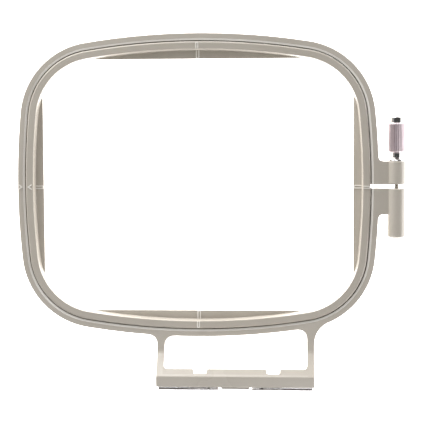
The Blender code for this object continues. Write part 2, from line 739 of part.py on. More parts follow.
def build_runner(name, x_range, ledge_range, screws, parent, material):
    """Bent steel runner with a ledge along its outer half and holes for its two screws."""
    item = extrude(name, runner_outline(), *x_range, parent, along="X", material=material)
    ledge = [
        (RUNNER_FRONT_Y + RUNNER_SHEET / 2, LEDGE_TOP - RUNNER_SHEET),
        (BAR_FRONT_Y - FIT_GAP, LEDGE_TOP - RUNNER_SHEET),
        (BAR_FRONT_Y - FIT_GAP, LEDGE_TOP),
        (RUNNER_FRONT_Y + RUNNER_SHEET / 2, LEDGE_TOP),
    ]
    added = [extrude(f"{name}_ledge", ledge, *ledge_range, parent, along="X")]
    combine(item, "UNION", helper_collection(f"{name}_additions", added))
    hole = RUNNER_SCREW_RADIUS + FIT_GAP
    cutters = []
    for x in screws:
        low, high = RUNNER_FRONT_Y - 2, RUNNER_FRONT_Y + RUNNER_SHEET + 0.5
        wide = RUNNER_SCREW_HEAD + FIT_GAP
        profile = [(0, low), (wide, low), (wide, RUNNER_FRONT_Y)]
        profile += [(hole, RUNNER_FRONT_Y + RUNNER_SHEET * 0.9), (hole, high), (0, high)]
        cutters.append(
            turn(f"{name}_hole", profile, parent, (x, 0, runner_screw_z()), steps=12)
        )
    combine(item, "DIFFERENCE", helper_collection(f"{name}_cuts", cutters))


def build_runners(parent, steel):
    """Two runners and their four screws."""
    left = BAR_LEFT + RUNNER_INSET
    right = BAR_RIGHT - RUNNER_INSET
    half = RUNNER_LENGTH / 2
    places = screw_positions()
    build_runner(
        "runner_left",
        (left, left + RUNNER_LENGTH),
        (left + 0.4, left + half),
        places[:2],
        parent,
        steel,
    )
    build_runner(
        "runner_right",
        (right - RUNNER_LENGTH, right),
        (right - half, right - 0.4),
        places[2:],
        parent,
        steel,
    )
    face = RUNNER_FRONT_Y + 0.1
    end = BAR_FRONT_Y + RUNNER_SCREW_LENGTH
    for number, x in enumerate(places, 1):
        profile = [
            (0, face),
            (RUNNER_SCREW_HEAD, face),
            (RUNNER_SCREW_RADIUS, face + RUNNER_SHEET * 0.9),
            (RUNNER_SCREW_RADIUS, end - 0.6),
            (0, end),
        ]
        origin = (x, 0, runner_screw_z())
        shade_round(turn(f"runner_screw_{number}", profile, parent, origin, steel, steps=16))


def main():
    clear_scene()
    centre = bpy.data.objects.new("ring_centre", None)
    bpy.context.scene.collection.objects.link(centre)
    centre.location = Vector((-BOX_CENTRE_X, -BOX_CENTRE_Y, 0.0)) * MM
    warm_grey = make_material("warm_grey_plastic", (0.42, 0.385, 0.33), 0.45, 0.0)
    inner_grey = make_material("warm_grey_plastic_inner", (0.41, 0.375, 0.32), 0.45, 0.0)
    steel = make_material("bright_steel", (0.62, 0.61, 0.6), 0.22, 1.0)
    plated = make_material("plated_knob", (0.56, 0.49, 0.5), 0.3, 1.0)
    brass = make_material("brass", (0.72, 0.53, 0.25), 0.3, 1.0)
    build_outer_frame(centre, warm_grey)
    build_inner_ring(centre, inner_grey)
    build_clamp(centre, steel, plated, brass)
    build_runners(centre, steel)


main()
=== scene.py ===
"""Looks of the machine-embroidery hoop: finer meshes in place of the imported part's, and a studio.

Sizes are in millimetres from the centre of the rings on the floor, and become metres in the row
frame where a mesh is made. What the frame's boxes give is read from them.
"""

import math

import bmesh
import bpy
from mathutils import Matrix, Vector


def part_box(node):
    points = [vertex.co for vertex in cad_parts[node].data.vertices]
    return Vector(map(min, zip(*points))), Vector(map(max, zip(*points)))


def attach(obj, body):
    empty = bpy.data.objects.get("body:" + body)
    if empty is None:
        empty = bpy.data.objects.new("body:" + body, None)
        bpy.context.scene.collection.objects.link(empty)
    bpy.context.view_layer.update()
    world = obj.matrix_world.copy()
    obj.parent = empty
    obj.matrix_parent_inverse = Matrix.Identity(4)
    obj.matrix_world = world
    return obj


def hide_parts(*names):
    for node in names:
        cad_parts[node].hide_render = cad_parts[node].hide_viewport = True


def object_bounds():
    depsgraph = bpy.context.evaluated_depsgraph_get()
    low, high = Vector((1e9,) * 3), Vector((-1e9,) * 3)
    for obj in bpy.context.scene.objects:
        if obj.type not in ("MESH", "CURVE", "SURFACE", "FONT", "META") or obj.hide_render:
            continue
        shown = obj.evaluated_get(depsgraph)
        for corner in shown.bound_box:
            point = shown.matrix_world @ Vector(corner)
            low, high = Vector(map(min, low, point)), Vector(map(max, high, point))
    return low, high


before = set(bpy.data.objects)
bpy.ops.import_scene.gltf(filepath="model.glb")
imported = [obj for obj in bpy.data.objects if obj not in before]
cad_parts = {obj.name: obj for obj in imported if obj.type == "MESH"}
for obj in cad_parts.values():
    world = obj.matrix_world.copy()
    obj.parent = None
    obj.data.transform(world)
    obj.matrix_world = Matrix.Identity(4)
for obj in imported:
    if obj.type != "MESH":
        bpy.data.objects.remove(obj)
CAD_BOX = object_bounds()
MM = 0.001

# Rings: the groove between them is a rounded rectangle whose four sides bow outwards.
LONG_SIDE_RADIUS = 613.0
SHORT_SIDE_RADIUS = 647.0
CORNER_RADIUS = 61.6
GROOVE_GAP = 0.9
# Below its chamfer the groove narrows to this fit, over this height.
GROOVE_FIT = 0.3
GROOVE_TAPER = 5.0
OUTER_HEIGHT = 11.0
OUTER_CHAMFER_WIDTH = 1.7
OUTER_CHAMFER_DROP = 0.85
OUTER_ROUND = 0.9
INNER_FACE = 6.6
INNER_CHAMFER = 1.1
INNER_WALL_DRAFT = 1.2
INNER_WALL_DEPTH = 8.2
SPLIT_CENTRE_Y = -0.75

# Webs of the inner ring and the raised marks.
WEB_REACH_SIDES = 15.2
WEB_REACH_ENDS = 15.6
WEB_BASE = 1.0
WEB_TOP = 3.6
WEB_END_OVERLAP = 1.4
WEB_OVERLAP = 4.0
WEB_MARK_INSET = 0.3
MARK_HEIGHT = 0.6
MARK_ROUND = 0.14
MARK_SHIFT = (0.8, -0.6)
MARK_ROOT = 1.0
ARROW_ROUND = 0.2
ARROW_NOTCH = 1.7

# Clamp lugs; other pieces share the edge rounding and the fit gap.
UPPER_LUG_LENGTH = 20.3
LOWER_LUG_LENGTH = 43.5
LOWER_PLATE_LENGTH = 22.9
LUG_FILLET = 4.6
EDGE_ROUND = 0.7
FIT_GAP = 0.3
BORE_RADIUS = 2.3
INSERT_RECESS = 0.5
INSERT_SEAT_FLARE = 3.4
PLATE_ROUNDS = (0.4, EDGE_ROUND)

# Clamp screw.
THREAD_PITCH = 0.7
THREAD_DEPTH = 0.28
THREAD_RADIUS = 1.95
SLEEVE_CORE_RADIUS = 3.2
NECK_RADIUS = 4.4
KNURL_COUNT = 30
KNURL_DEPTH = 0.5
KNURL_SHARPNESS = 0.6
INSERT_GROOVES = 12
INSERT_GROOVE_DEPTH = 0.15

# Connector.
BAR_FACE_DEPTH = 9.4
BAR_WALL_BOTTOM = 14.0
SHEET = 3.0
RAMP_RUN = 19.8
ARM_WIDTH = 6.5
ARM_FOOT_RUN = 6.5
WINDOW_STRIP = 6.4
WINDOW_CORNER = 3.2
NOTCH_WIDTH = 11.7
NOTCH_DEPTH = 3.6
NOTCH_OFFSETS = (-30.9, 33.6)
ARM_INNER_FILLET = 10.5
ARM_OUTER_FILLETS = (9.0, 16.0)
BAR_ROUND = 1.0

# Runners and their screws.
RUNNER_SHEET = 1.4
RUNNER_STANDOFF = 1.6
RUNNER_INSET = 1.6
LEDGE_TOP = 23.6
TAB_WIDTH = 25.2
TAB_TOP = 19.0
TAB_BOTTOM = 14.6
RUNNER_SCREW_RADIUS = 1.3
RUNNER_SCREW_HEAD = 2.4
COUNTERSINK_SHARE = 0.9
RECESS_REACH, RECESS_WIDTH, RECESS_DEPTH = 1.25, 0.3, 0.7

# Faces that would lie in one plane are set back from each other by this much.
STEP = 0.015

# How far cutters run past their faces, and what share of the ring's wall roots reach into.
BORE_OVERRUN = 5
SEAT_OVERRUN = 3
HOLE_OVERRUN = 2
ARM_ROOT_SHARE = 0.4
FILLET_ROOT_SHARE = 0.45
PLATE_ROOT_SHARE = 0.5

# Fineness of the meshes.
CORNER_STEPS = 48
SIDE_STEPS = 32
ROUND_STEPS = 96
THREAD_STEPS = 64
THREAD_RINGS_PER_TURN = 6
KNURL_STEPS = KNURL_COUNT * 8
BORE_STEPS = 48
HOLE_STEPS = 32
BEND_STEPS = 5

# Cleaning and shading, in metres and degrees.
WELD_DISTANCE = 2e-6
DEGENERATE_LENGTH = 1e-6
SHARP_ANGLE = 32.0
TURNED_SHARP_ANGLE = 40.0
KNURL_SHARP_ANGLE = 45.0
NORMAL_WEIGHT = 80

# Faces given painted highlight or painted shade: their lift off a flat face; for the painted
# highlight on the ring's chamfer, its depth below the chamfer and its upward slope.
ZONE_LIFT = 0.05
HIGHLIGHT_DEPTH = 0.2
HIGHLIGHT_SLOPE = (0.3, 0.99)

RING_LOW, RING_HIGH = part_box("inner_ring")
RING_CENTRE = Vector(((RING_LOW.x + RING_HIGH.x) / 2, (RING_LOW.y + RING_HIGH.y) / 2, 0.0))


def extent(node):
    """Lowest and highest corner of a CAD node, in millimetres from the centre of the rings."""
    low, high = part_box(node)
    return (low - RING_CENTRE) / MM, (high - RING_CENTRE) / MM


FRAME_HIGH = extent("outer_frame")[1]
INNER_HIGH = extent("inner_ring")[1]
WASHER_LOW, WASHER_HIGH = extent("cup_washer")
INSERT_LOW, INSERT_HIGH = extent("thread_insert")
SCREW_LOW, SCREW_HIGH = extent("clamp_screw")
SLEEVE_LOW, SLEEVE_HIGH = extent("knob_sleeve")
LEFT_LOW, LEFT_HIGH = extent("runner_left")
RIGHT_HIGH = extent("runner_right")[1]

HALF_WIDTH = INNER_HIGH.x + GROOVE_GAP / 2
HALF_DEPTH = INNER_HIGH.y + GROOVE_GAP / 2
LONG_CENTRE_Y = HALF_DEPTH - LONG_SIDE_RADIUS
SHORT_CENTRE_X = HALF_WIDTH - SHORT_SIDE_RADIUS
INNER_HEIGHT = INNER_HIGH.z - MARK_HEIGHT
OUTER_INNER = GROOVE_GAP / 2
OUTER_BORE = GROOVE_FIT - GROOVE_GAP / 2
OUTER_OUTER = FRAME_HIGH.y - HALF_DEPTH
OUTER_WALL = OUTER_OUTER - OUTER_INNER
INNER_OUTER = -GROOVE_GAP / 2
INNER_TOP_EDGE = INNER_OUTER - INNER_FACE
INNER_BASE_EDGE = INNER_TOP_EDGE - INNER_WALL_DRAFT
BARREL_X = (WASHER_LOW.x + WASHER_HIGH.x) / 2
SCREW_Z = (WASHER_LOW.z + WASHER_HIGH.z) / 2
BARREL_CENTRE = (BARREL_X, SCREW_Z)
BARREL_RADIUS = FRAME_HIGH.x - BARREL_X
UPPER_LUG_END = WASHER_LOW.y - FIT_GAP
LOWER_LUG_END = INSERT_LOW.y - INSERT_RECESS
SPLIT_TOP_Y = UPPER_LUG_END - UPPER_LUG_LENGTH
SPLIT_LOW_Y = LOWER_LUG_END + LOWER_LUG_LENGTH
BAR_LEFT = LEFT_LOW.x - RUNNER_INSET
BAR_RIGHT = RIGHT_HIGH.x + RUNNER_INSET
BAR_CENTRE_X = (BAR_LEFT + BAR_RIGHT) / 2
BAR_TOP = FRAME_HIGH.z
RUNNER_FRONT_Y = LEFT_LOW.y
RUNNER_TOP = LEFT_HIGH.z
BAR_FRONT_Y = RUNNER_FRONT_Y + RUNNER_SHEET + RUNNER_STANDOFF
BAR_BACK_Y = BAR_FRONT_Y + BAR_FACE_DEPTH
RAMP_FOOT_Y = BAR_BACK_Y + RAMP_RUN
RAMP_RISE = BAR_TOP - OUTER_HEIGHT
RAMP_SLOPE = math.hypot(RAMP_RUN, RAMP_RISE)
LEFT_ARM_X = (BAR_LEFT, BAR_LEFT + ARM_WIDTH)
RIGHT_ARM_X = (BAR_RIGHT - ARM_WIDTH, BAR_RIGHT)

# Camera: where it stands from the rings' centre, its turns, and its focal length as a share of
# the picture's width.
CAMERA_PLACE = (92.3, 70.7, 1223.8)
CAMERA_TURNS = (0.07664, -0.06548, 0.0054)
CAMERA_FOCAL_SHARE = 3.2697
SENSOR_WIDTH = 36.0

# Studio: how brightly the floor, the low part of the tent and its top glow.
FLOOR_GLOW = 2.8
HORIZON_GLOW = 0.55
ZENITH_GLOW = 0.08
WHITE = (1.0, 1.0, 1.0, 1.0)

# Floor: half its side and its drop below the part, in metres.
FLOOR_HALF = 4.0
FLOOR_DROP = 0.0006

# Soft lights as (name, place, target, size, power), in metres from the rings' centre.
LIGHTS = (
    ("key", (-0.65, 1.2, 0.37), (0, 0, 0), (1.3, 0.4), 18.0),
    ("fill", (-0.75, 0.75, 0.9), (0, 0, 0), (0.5, 0.4), 3.6),
    ("rim", (1.3, -0.2, 0.22), (0, 0, 0), (1.2, 0.3), 5.0),
    ("front", (0.1, -0.55, 0.75), (0, -0.1, 0), (0.6, 0.4), 2.4),
)

# Colours as linear RGB. Plastics: light tone, dark tone and painted highlight on convex edges.
OUTER_GREYS = ((0.585, 0.54, 0.475), (0.55, 0.505, 0.44), (0.7, 0.66, 0.6))
INNER_GREYS = ((0.565, 0.52, 0.455), (0.53, 0.485, 0.42), (0.7, 0.66, 0.6))
# Painted highlight: lighter plastic on the raised marks and on the outer ring's chamfer.
HIGHLIGHT_TONES = ((0.95, 0.92, 0.86), (0.88, 0.84, 0.78), (0.97, 0.95, 0.9))
# Painted shade: darker plastic on the tab below the bar.
TAB_SHADE_TONES = ((0.22, 0.19, 0.15), (0.18, 0.155, 0.12), (0.28, 0.25, 0.2))
# Metals: light tone and tarnish.
NICKEL_TONES = ((0.72, 0.71, 0.70), (0.5, 0.47, 0.44))
BRASS_TONES = ((0.76, 0.57, 0.28), (0.5, 0.36, 0.16))
STEEL_TONES = ((0.9, 0.88, 0.89), (0.62, 0.58, 0.61))
KNOB_TONES = ((0.86, 0.75, 0.78), (0.72, 0.61, 0.64))
# Painted shade in the knurl's grooves.
KNOB_GROOVE_SHADE = (0.12, 0.09, 0.09)
TARNISH_SHARE = 0.5

# Sockets of a colour Mix node, whose names repeat for each data type.
MIX_FIRST, MIX_SECOND, MIX_RESULT = 6, 7, 2


# ---------------------------------------------------------------- shapes


def make_piece(name, points, faces):
    """Mesh object in the row frame from points in millimetres from the rings' centre."""
    mesh = bpy.data.meshes.new(name)
    mesh.from_pydata([Vector(point) * MM + RING_CENTRE for point in points], [], faces)
    work = bmesh.new()
    work.from_mesh(mesh)
    bmesh.ops.recalc_face_normals(work, faces=work.faces)
    work.to_mesh(mesh)
    work.free()
    piece = bpy.data.objects.new(name, mesh)
    bpy.context.scene.collection.objects.link(piece)
    return piece


def rounded(corners, steps=4):
    """Outline from (u, v, radius) corners, each turned into an arc of that radius."""
    found = []
    for i, (u, v, radius) in enumerate(corners):
        here = Vector((u, v))
        if radius <= 0:
            found.append((u, v))
            continue
        before = Vector(corners[i - 1][:2]) - here
        after = Vector(corners[(i + 1) % len(corners)][:2]) - here
        half = before.angle(after) / 2
        # Two arcs must not meet on one side.
        reach = min(radius / math.tan(half), before.length * 0.49, after.length * 0.49)
        before.normalize()
        after.normalize()
        centre = here + (before + after).normalized() * reach / math.cos(half)
        start, end = here + before * reach - centre, here + after * reach - centre
        swept = math.pi - 2 * half
        for k in range(steps + 1):
            t = k / steps
            first, second = math.sin((1 - t) * swept), math.sin(t * swept)
            found.append(tuple(centre + (start * first + end * second) / math.sin(swept)))
    return found


def anticlockwise(outline):
    """The same outline, turning anticlockwise."""
    pairs = zip(outline, outline[1:] + outline[:1])
    area = sum(a[0] * b[1] - b[0] * a[1] for a, b in pairs)
    return list(outline) if area > 0 else list(reversed(outline))


def inset(outline, amount):
    """Outline moved inwards by an amount, corner by corner."""
    found = []
    for i, here in enumerate(outline):
        here = Vector(here)
        into = (here - Vector(outline[i - 1])).normalized()
        out = (Vector(outline[(i + 1) % len(outline)]) - here).normalized()
        normal = Vector((-into.y - out.y, into.x + out.x))
        if normal.length < 1e-6:
            normal = Vector((-into.y, into.x))
        normal.normalize()
        spread = max(0.35, normal.dot(Vector((-into.y, into.x))))
        found.append(tuple(here + normal * amount / spread))
    return found


def upright(u, v, w):
    """Outline in plan, extruded upwards."""
    return u, v, w


def sideways(u, v, w):
    """Outline of (y, z), extruded along X."""
    return w, u, v


def facing_front(u, v, w):
    """Outline of (x, z), extruded along Y."""
    return u, w, v


def prism(name, outline, low, high, rounds=(0.0, 0.0), place=upright, steps=3):
    """Extruded outline whose two rims are rounded by their own radii."""
    outline = anticlockwise(outline)
    layers = []
    for level, way, radius in ((low, 1, rounds[0]), (high, -1, rounds[1])):
        rim = [(level, 0.0)]
        if radius > 0:
            turns = [math.pi / 2 * k / steps for k in range(steps + 1)]
            rim = [
                (level + way * radius * (1 - math.cos(turn)), radius * (1 - math.sin(turn)))
                for turn in turns
            ]
        layers += rim if way > 0 else rim[::-1]
    points = [place(u, v, w) for w, amount in layers for u, v in inset(outline, amount)]
    count = len(outline)
    faces = [tuple(range(count)), tuple(range(len(points) - count, len(points)))]
    for i in range(len(layers) - 1):
        here, there = i * count, (i + 1) * count
        for j in range(count):
            k = (j + 1) % count
            faces.append((here + j, here + k, there + k, there + j))
    return make_piece(name, points, faces)


def half_width(low, high):
    """Radius of a turned CAD node, from its box."""
    return (high.x - low.x) / 2


def turn(name, profile, centre, steps=ROUND_STEPS, tube=False, shape=None):
    """Turned solid about an axis along Y from a profile of (radius, y).

    A tube's profile closes on itself. shape(radius, y, angle), if given, gives the radius there.
    """
    x, z = centre
    points, rings = [], []
    for radius, y in profile:
        size = 1 if radius == 0 else steps
        rings.append(range(len(points), len(points) + size))
        for i in range(size):
            angle = 2 * math.pi * i / steps
            reach = shape(radius, y, angle) if shape and radius else radius
            points.append((x + reach * math.cos(angle), y, z + reach * math.sin(angle)))
    pairs = list(zip(rings, rings[1:]))
    if tube:
        pairs.append((rings[-1], rings[0]))
    faces = []
    for one, two in pairs:
        for i in range(steps):
            k = (i + 1) % steps
            corners = (one[i % len(one)], one[k % len(one)], two[k % len(two)], two[i % len(two)])
            faces.append(tuple(dict.fromkeys(corners)))
    return make_piece(name, points, faces)


def paint_light_zones(piece, material, zones):
    """Give another material to the faces in some (low, high) boxes, and return its index."""
    piece.data.materials.append(material)
    index = len(piece.data.materials) - 1
    for face in piece.data.polygons:
        place = (face.center - RING_CENTRE) / MM
        for low, high in zones:
            if all(a < value < b for a, value, b in zip(low, place, high)):
                face.material_index = index
    return index


def merge(base, added=(), cut=()):
    """Boolean union of a piece with others, less the cutters, kept as the piece's own mesh."""
    for operation, others in (("UNION", added), ("DIFFERENCE", cut)):
        if not others:
            continue
        group = bpy.data.collections.new(base.name + operation.lower())
        bpy.context.scene.collection.children.link(group)
        for other in others:
            bpy.context.scene.collection.objects.unlink(other)
            group.objects.link(other)
        modifier = base.modifiers.new(operation.lower(), "BOOLEAN")
        modifier.operation = operation
        modifier.operand_type = "COLLECTION"
        modifier.collection = group
        modifier.solver = "EXACT"
    graph = bpy.context.evaluated_depsgraph_get()
    mesh = bpy.data.meshes.new_from_object(base.evaluated_get(graph))
    base.modifiers.clear()
    base.data = mesh
    for other in (*added, *cut):
        bpy.data.objects.remove(other, do_unlink=True)
    for group in list(bpy.data.collections):
        if group.name.startswith(base.name):
            bpy.data.collections.remove(group)


def finish_piece(piece, material, body, nodes, angle=SHARP_ANGLE):
    """Clean the mesh, shade it, give it its material and put it on its body."""
    work = bmesh.new()
    work.from_mesh(piece.data)
    bmesh.ops.remove_doubles(work, verts=work.verts, dist=WELD_DISTANCE)
    bmesh.ops.dissolve_degenerate(work, dist=DEGENERATE_LENGTH, edges=work.edges)
    work.to_mesh(piece.data)
    work.free()
    piece.data.materials.clear()
    piece.data.materials.append(material)
    piece.data.shade_smooth()
    piece.data.set_sharp_from_angle(angle=math.radians(angle))
    weighted = piece.modifiers.new("weighted_normals", "WEIGHTED_NORMAL")
    weighted.keep_sharp = True
    weighted.weight = NORMAL_WEIGHT
    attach(piece, body)
    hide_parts(*nodes)


# ---------------------------------------------------------------- rings


def corner_centre():
    """Centre of the corner arc that is tangent to a long-side and a short-side arc."""
    from_long = LONG_SIDE_RADIUS - CORNER_RADIUS
    from_short = SHORT_SIDE_RADIUS - CORNER_RADIUS
    start, end = Vector((0.0, LONG_CENTRE_Y)), Vector((SHORT_CENTRE_X, 0.0))
    apart = (end - start).length
    along = (from_long**2 - from_short**2 + apart**2) / (2 * apart)
    across = math.sqrt(from_long**2 - along**2)
    unit = (end - start) / apart
    foot = start + unit * along
    both = [foot + Vector((-unit.y, unit.x)) * side for side in (across, -across)]
    return max(both, key=lambda point: point.x + point.y)


CORNER = corner_centre()


def ring_arcs():
    """The eight arcs of the groove as (centre, radius, start, end, steps), anticlockwise."""
    long_y, short_x = LONG_CENTRE_Y, SHORT_CENTRE_X
    low = math.atan2(CORNER.y, CORNER.x - short_x)
    high = math.atan2(CORNER.y - long_y, CORNER.x)
    half, full = math.pi, 2 * math.pi
    x, y = CORNER
    return [
        ((short_x, 0), SHORT_SIDE_RADIUS, -low, low, SIDE_STEPS),
        ((x, y), CORNER_RADIUS, low, high, CORNER_STEPS),
        ((0, long_y), LONG_SIDE_RADIUS, high, half - high, SIDE_STEPS),
        ((-x, y), CORNER_RADIUS, half - high, half - low, CORNER_STEPS),
        ((-short_x, 0), SHORT_SIDE_RADIUS, half - low, half + low, SIDE_STEPS),
        ((-x, -y), CORNER_RADIUS, half + low, half + high, CORNER_STEPS),
        ((0, -long_y), LONG_SIDE_RADIUS, half + high, full - high, SIDE_STEPS),
        ((x, -y), CORNER_RADIUS, full - high, full - low, CORNER_STEPS),
    ]


def arc_stations(arc, last=False):
    """Stations (centre, radius, angle) along an arc, without its end unless it is the last."""
    centre, radius, start, end, steps = arc
    count = steps + 1 if last else steps
    return [(centre, radius, start + (end - start) * i / steps) for i in range(count)]


def closed_stations():
    """Stations once round the groove."""
    return [station for arc in ring_arcs() for station in arc_stations(arc)]


def split_stations():
    """Stations round the groove from one face of the split to the other."""
    arcs = ring_arcs()
    centre, radius, low, high, steps = arcs[0]
    upper = math.asin(SPLIT_TOP_Y / radius)
    lower = math.asin(SPLIT_LOW_Y / radius)
    first = arc_stations((centre, radius, upper, high, steps // 2))
    middle = [station for arc in arcs[1:] for station in arc_stations(arc)]
    final = arc_stations((centre, radius, low, lower, steps // 2), last=True)
    return first + middle + final


def station_point(station, offset):
    """Point at an offset outwards from the groove."""
    (x, y), radius, angle = station
    reach = radius + offset
    return x + reach * math.cos(angle), y + reach * math.sin(angle)


def front_y(x, offset):
    """Y of the front side of the groove's offset curve at a given X."""
    edge = math.cos(math.atan2(CORNER.y - HALF_DEPTH + LONG_SIDE_RADIUS, CORNER.x))
    if abs(x) <= (LONG_SIDE_RADIUS + offset) * edge:
        centre_y = LONG_SIDE_RADIUS - HALF_DEPTH
        return centre_y - math.sqrt((LONG_SIDE_RADIUS + offset) ** 2 - x**2)
    return -CORNER.y - math.sqrt((CORNER_RADIUS + offset) ** 2 - (abs(x) - CORNER.x) ** 2)


def groove_offset(x, y):
    """How far a point lies outside the groove."""
    x, y = abs(x), abs(y)
    long_y, short_x = LONG_CENTRE_Y, SHORT_CENTRE_X
    if math.atan2(y - long_y, x) > math.atan2(CORNER.y - long_y, CORNER.x):
        return math.hypot(x, y - long_y) - LONG_SIDE_RADIUS
    if math.atan2(y, x - short_x) < math.atan2(CORNER.y, CORNER.x - short_x):
        return math.hypot(x - short_x, y) - SHORT_SIDE_RADIUS
    return math.hypot(x - CORNER.x, y - CORNER.y) - CORNER_RADIUS


def paint_chamfer_highlight(ring, index):
    """Paint a highlight on the outer ring's chamfer, where the inner ring slides in, with the
    lighter material.
    """
    lowest = OUTER_HEIGHT - OUTER_CHAMFER_DROP - HIGHLIGHT_DEPTH
    flattest, steepest = HIGHLIGHT_SLOPE
    for face in ring.data.polygons:
        x, y, z = (face.center - RING_CENTRE) / MM
        if z > lowest and flattest < face.normal.z < steepest:
            if 0 < groove_offset(x, y) < OUTER_INNER + OUTER_CHAMFER_WIDTH:
                face.material_index = index


def sweep(name, stations, section, closed):
    """Sweep a closed section of (offset, z) points round the groove."""
    count = len(section)
    points = [
        (*station_point(station, offset), z) for station in stations for offset, z in section
    ]
    spans = len(stations) if closed else len(stations) - 1
    faces = []
    for i in range(spans):
        here, there = i * count, (i + 1) % len(stations) * count
        for j in range(count):
            k = (j + 1) % count
            faces.append((here + j, here + k, there + k, there + j))
    if not closed:
        faces.append(tuple(range(count)))
        faces.append(tuple(range(len(points) - count, len(points))))
    return make_piece(name, points, faces)


def outer_section():
    """Outer ring section: a soft chamfer beside the groove and rounded outer edges."""
    top, out = OUTER_HEIGHT, OUTER_OUTER
    return rounded([
        (OUTER_BORE, 0.0, 0.4),
        (out, 0.0, OUTER_ROUND),
        (out, top, OUTER_ROUND),
        (OUTER_INNER + OUTER_CHAMFER_WIDTH, top, 0.5),
        (OUTER_INNER, top - OUTER_CHAMFER_DROP, 0.2),
        (OUTER_BORE, top - OUTER_CHAMFER_DROP - GROOVE_TAPER, 0.5),
    ])


def inner_section():
    """Inner ring section: chamfer beside the groove and a drafted wall down to the webs."""
    top = INNER_HEIGHT
    return rounded([
        (INNER_OUTER, 0.0, OUTER_ROUND),
        (INNER_OUTER, top - INNER_CHAMFER, 0.3),
        (INNER_OUTER - INNER_CHAMFER, top, 0.4),
        (INNER_TOP_EDGE, top, 0.45),
        (INNER_BASE_EDGE, top - INNER_WALL_DEPTH, 0.5),
        (INNER_BASE_EDGE, 0.0, 0.5),
    ])


# ---------------------------------------------------------------- outer frame


def ramp_z(y):
    """Height of the connector's upper surface on its ramp."""
    return OUTER_HEIGHT + (RAMP_FOOT_Y - y) / RAMP_RUN * RAMP_RISE


def on_ramp(u, v, w):
    """Place (x, plan y, height off the ramp) on the ramp's plane."""
    return u, v + w * RAMP_RISE / RAMP_SLOPE, ramp_z(v) + w * RAMP_RUN / RAMP_SLOPE


def arm_solid(name, x_range):
    """One arm: flat beside the ring, then a gusset up to the bar."""
    start = front_y(sum(x_range) / 2, OUTER_OUTER) + OUTER_WALL * ARM_ROOT_SHARE
    outline = rounded([
        (start, OUTER_HEIGHT - STEP, 0.0),
        (RAMP_FOOT_Y, OUTER_HEIGHT - STEP, 6.0),
        (BAR_BACK_Y, BAR_TOP, 2.0),
        (BAR_FRONT_Y, BAR_TOP, BAR_ROUND),
        (BAR_FRONT_Y, BAR_WALL_BOTTOM, 1.2),
        (BAR_FRONT_Y + SHEET * 1.5, BAR_WALL_BOTTOM, 3.0),
        (RAMP_FOOT_Y - ARM_FOOT_RUN, STEP, 5.0),
        (start, STEP, 0.0),
    ], steps=BEND_STEPS)
    return prism(name, outline, *x_range, (EDGE_ROUND, EDGE_ROUND), sideways)


def bar_solid():
    """The bar and its front wall as one bent sheet, with the top of the ramp."""
    foot = BAR_BACK_Y + (WINDOW_STRIP - NOTCH_DEPTH) * 0.7
    under_y = foot - SHEET * RAMP_RISE / RAMP_SLOPE
    under_z = ramp_z(foot) - SHEET * RAMP_RUN / RAMP_SLOPE
    inner_z, front = BAR_TOP - SHEET, BAR_FRONT_Y + STEP
    bend_y = under_y - (inner_z - under_z) * RAMP_RUN / RAMP_RISE
    outline = rounded([
        (foot, ramp_z(foot) - 2 * STEP, 0.0),
        (BAR_BACK_Y, BAR_TOP - STEP, 2.0),
        (front, BAR_TOP - STEP, BAR_ROUND),
        (front, BAR_WALL_BOTTOM + STEP, 0.6),
        (BAR_FRONT_Y + SHEET, BAR_WALL_BOTTOM + STEP, 0.6),
        (BAR_FRONT_Y + SHEET, inner_z, 0.8),
        (bend_y, inner_z, 0.5),
        (under_y, under_z, 0.0),
    ], steps=BEND_STEPS)
    return prism("bar", outline, LEFT_ARM_X[0] + 1, RIGHT_ARM_X[1] - 1, place=sideways)


def strip_solid():
    """The ramp's upper strip, with the connector window's edge, corners and notches."""
    left, right = LEFT_ARM_X[0] + 1.5, RIGHT_ARM_X[1] - 1.5
    window_left, window_right = LEFT_ARM_X[1] - 0.03, RIGHT_ARM_X[0] + 0.03
    back, edge = BAR_BACK_Y + 0.4, BAR_BACK_Y + WINDOW_STRIP
    end = edge + WINDOW_CORNER * 2
    corners = [
        (left, back, 0),
        (right, back, 0),
        (right, end, 0),
        (window_right, end, 0),
        (window_right, edge, WINDOW_CORNER),
    ]
    for offset in sorted(NOTCH_OFFSETS, reverse=True):
        x = BAR_CENTRE_X + offset
        high, low = x + NOTCH_WIDTH / 2, x - NOTCH_WIDTH / 2
        bottom = edge - NOTCH_DEPTH
        corners += [(high, edge, 0.9), (high, bottom, 1.3), (low, bottom, 1.3), (low, edge, 0.9)]
    corners += [(window_left, edge, WINDOW_CORNER), (window_left, end, 0), (left, end, 0)]
    return prism("strip", rounded(corners), -SHEET - 4 * STEP, -4 * STEP, (0.4, 0.5), on_ramp)


def bezier(start, control, end, steps=12):
    """Points of a quadratic curve, ends included."""
    found = []
    for i in range(steps + 1):
        t = i / steps
        found.append(tuple(
            (1 - t) ** 2 * a + 2 * t * (1 - t) * b + t * t * c
            for a, b, c in zip(start, control, end)
        ))
    return found


def arm_fillet(name, x, side, size):
    """The fillet between an arm's side and the ring's front."""
    far = x + side * size
    corner_y, far_y = front_y(x, OUTER_OUTER), front_y(far, OUTER_OUTER)
    inside = OUTER_WALL * FILLET_ROOT_SHARE
    within = x - side * ARM_WIDTH / 2
    curve = bezier((x, corner_y - size), (x, corner_y), (far, far_y))
    outline = [(within, corner_y - size)] + curve
    outline += [(far, far_y + inside), (within, front_y(within, OUTER_OUTER) + inside)]
    return prism(name, outline, 3 * STEP, OUTER_HEIGHT - 2 * STEP, (0.5, EDGE_ROUND))


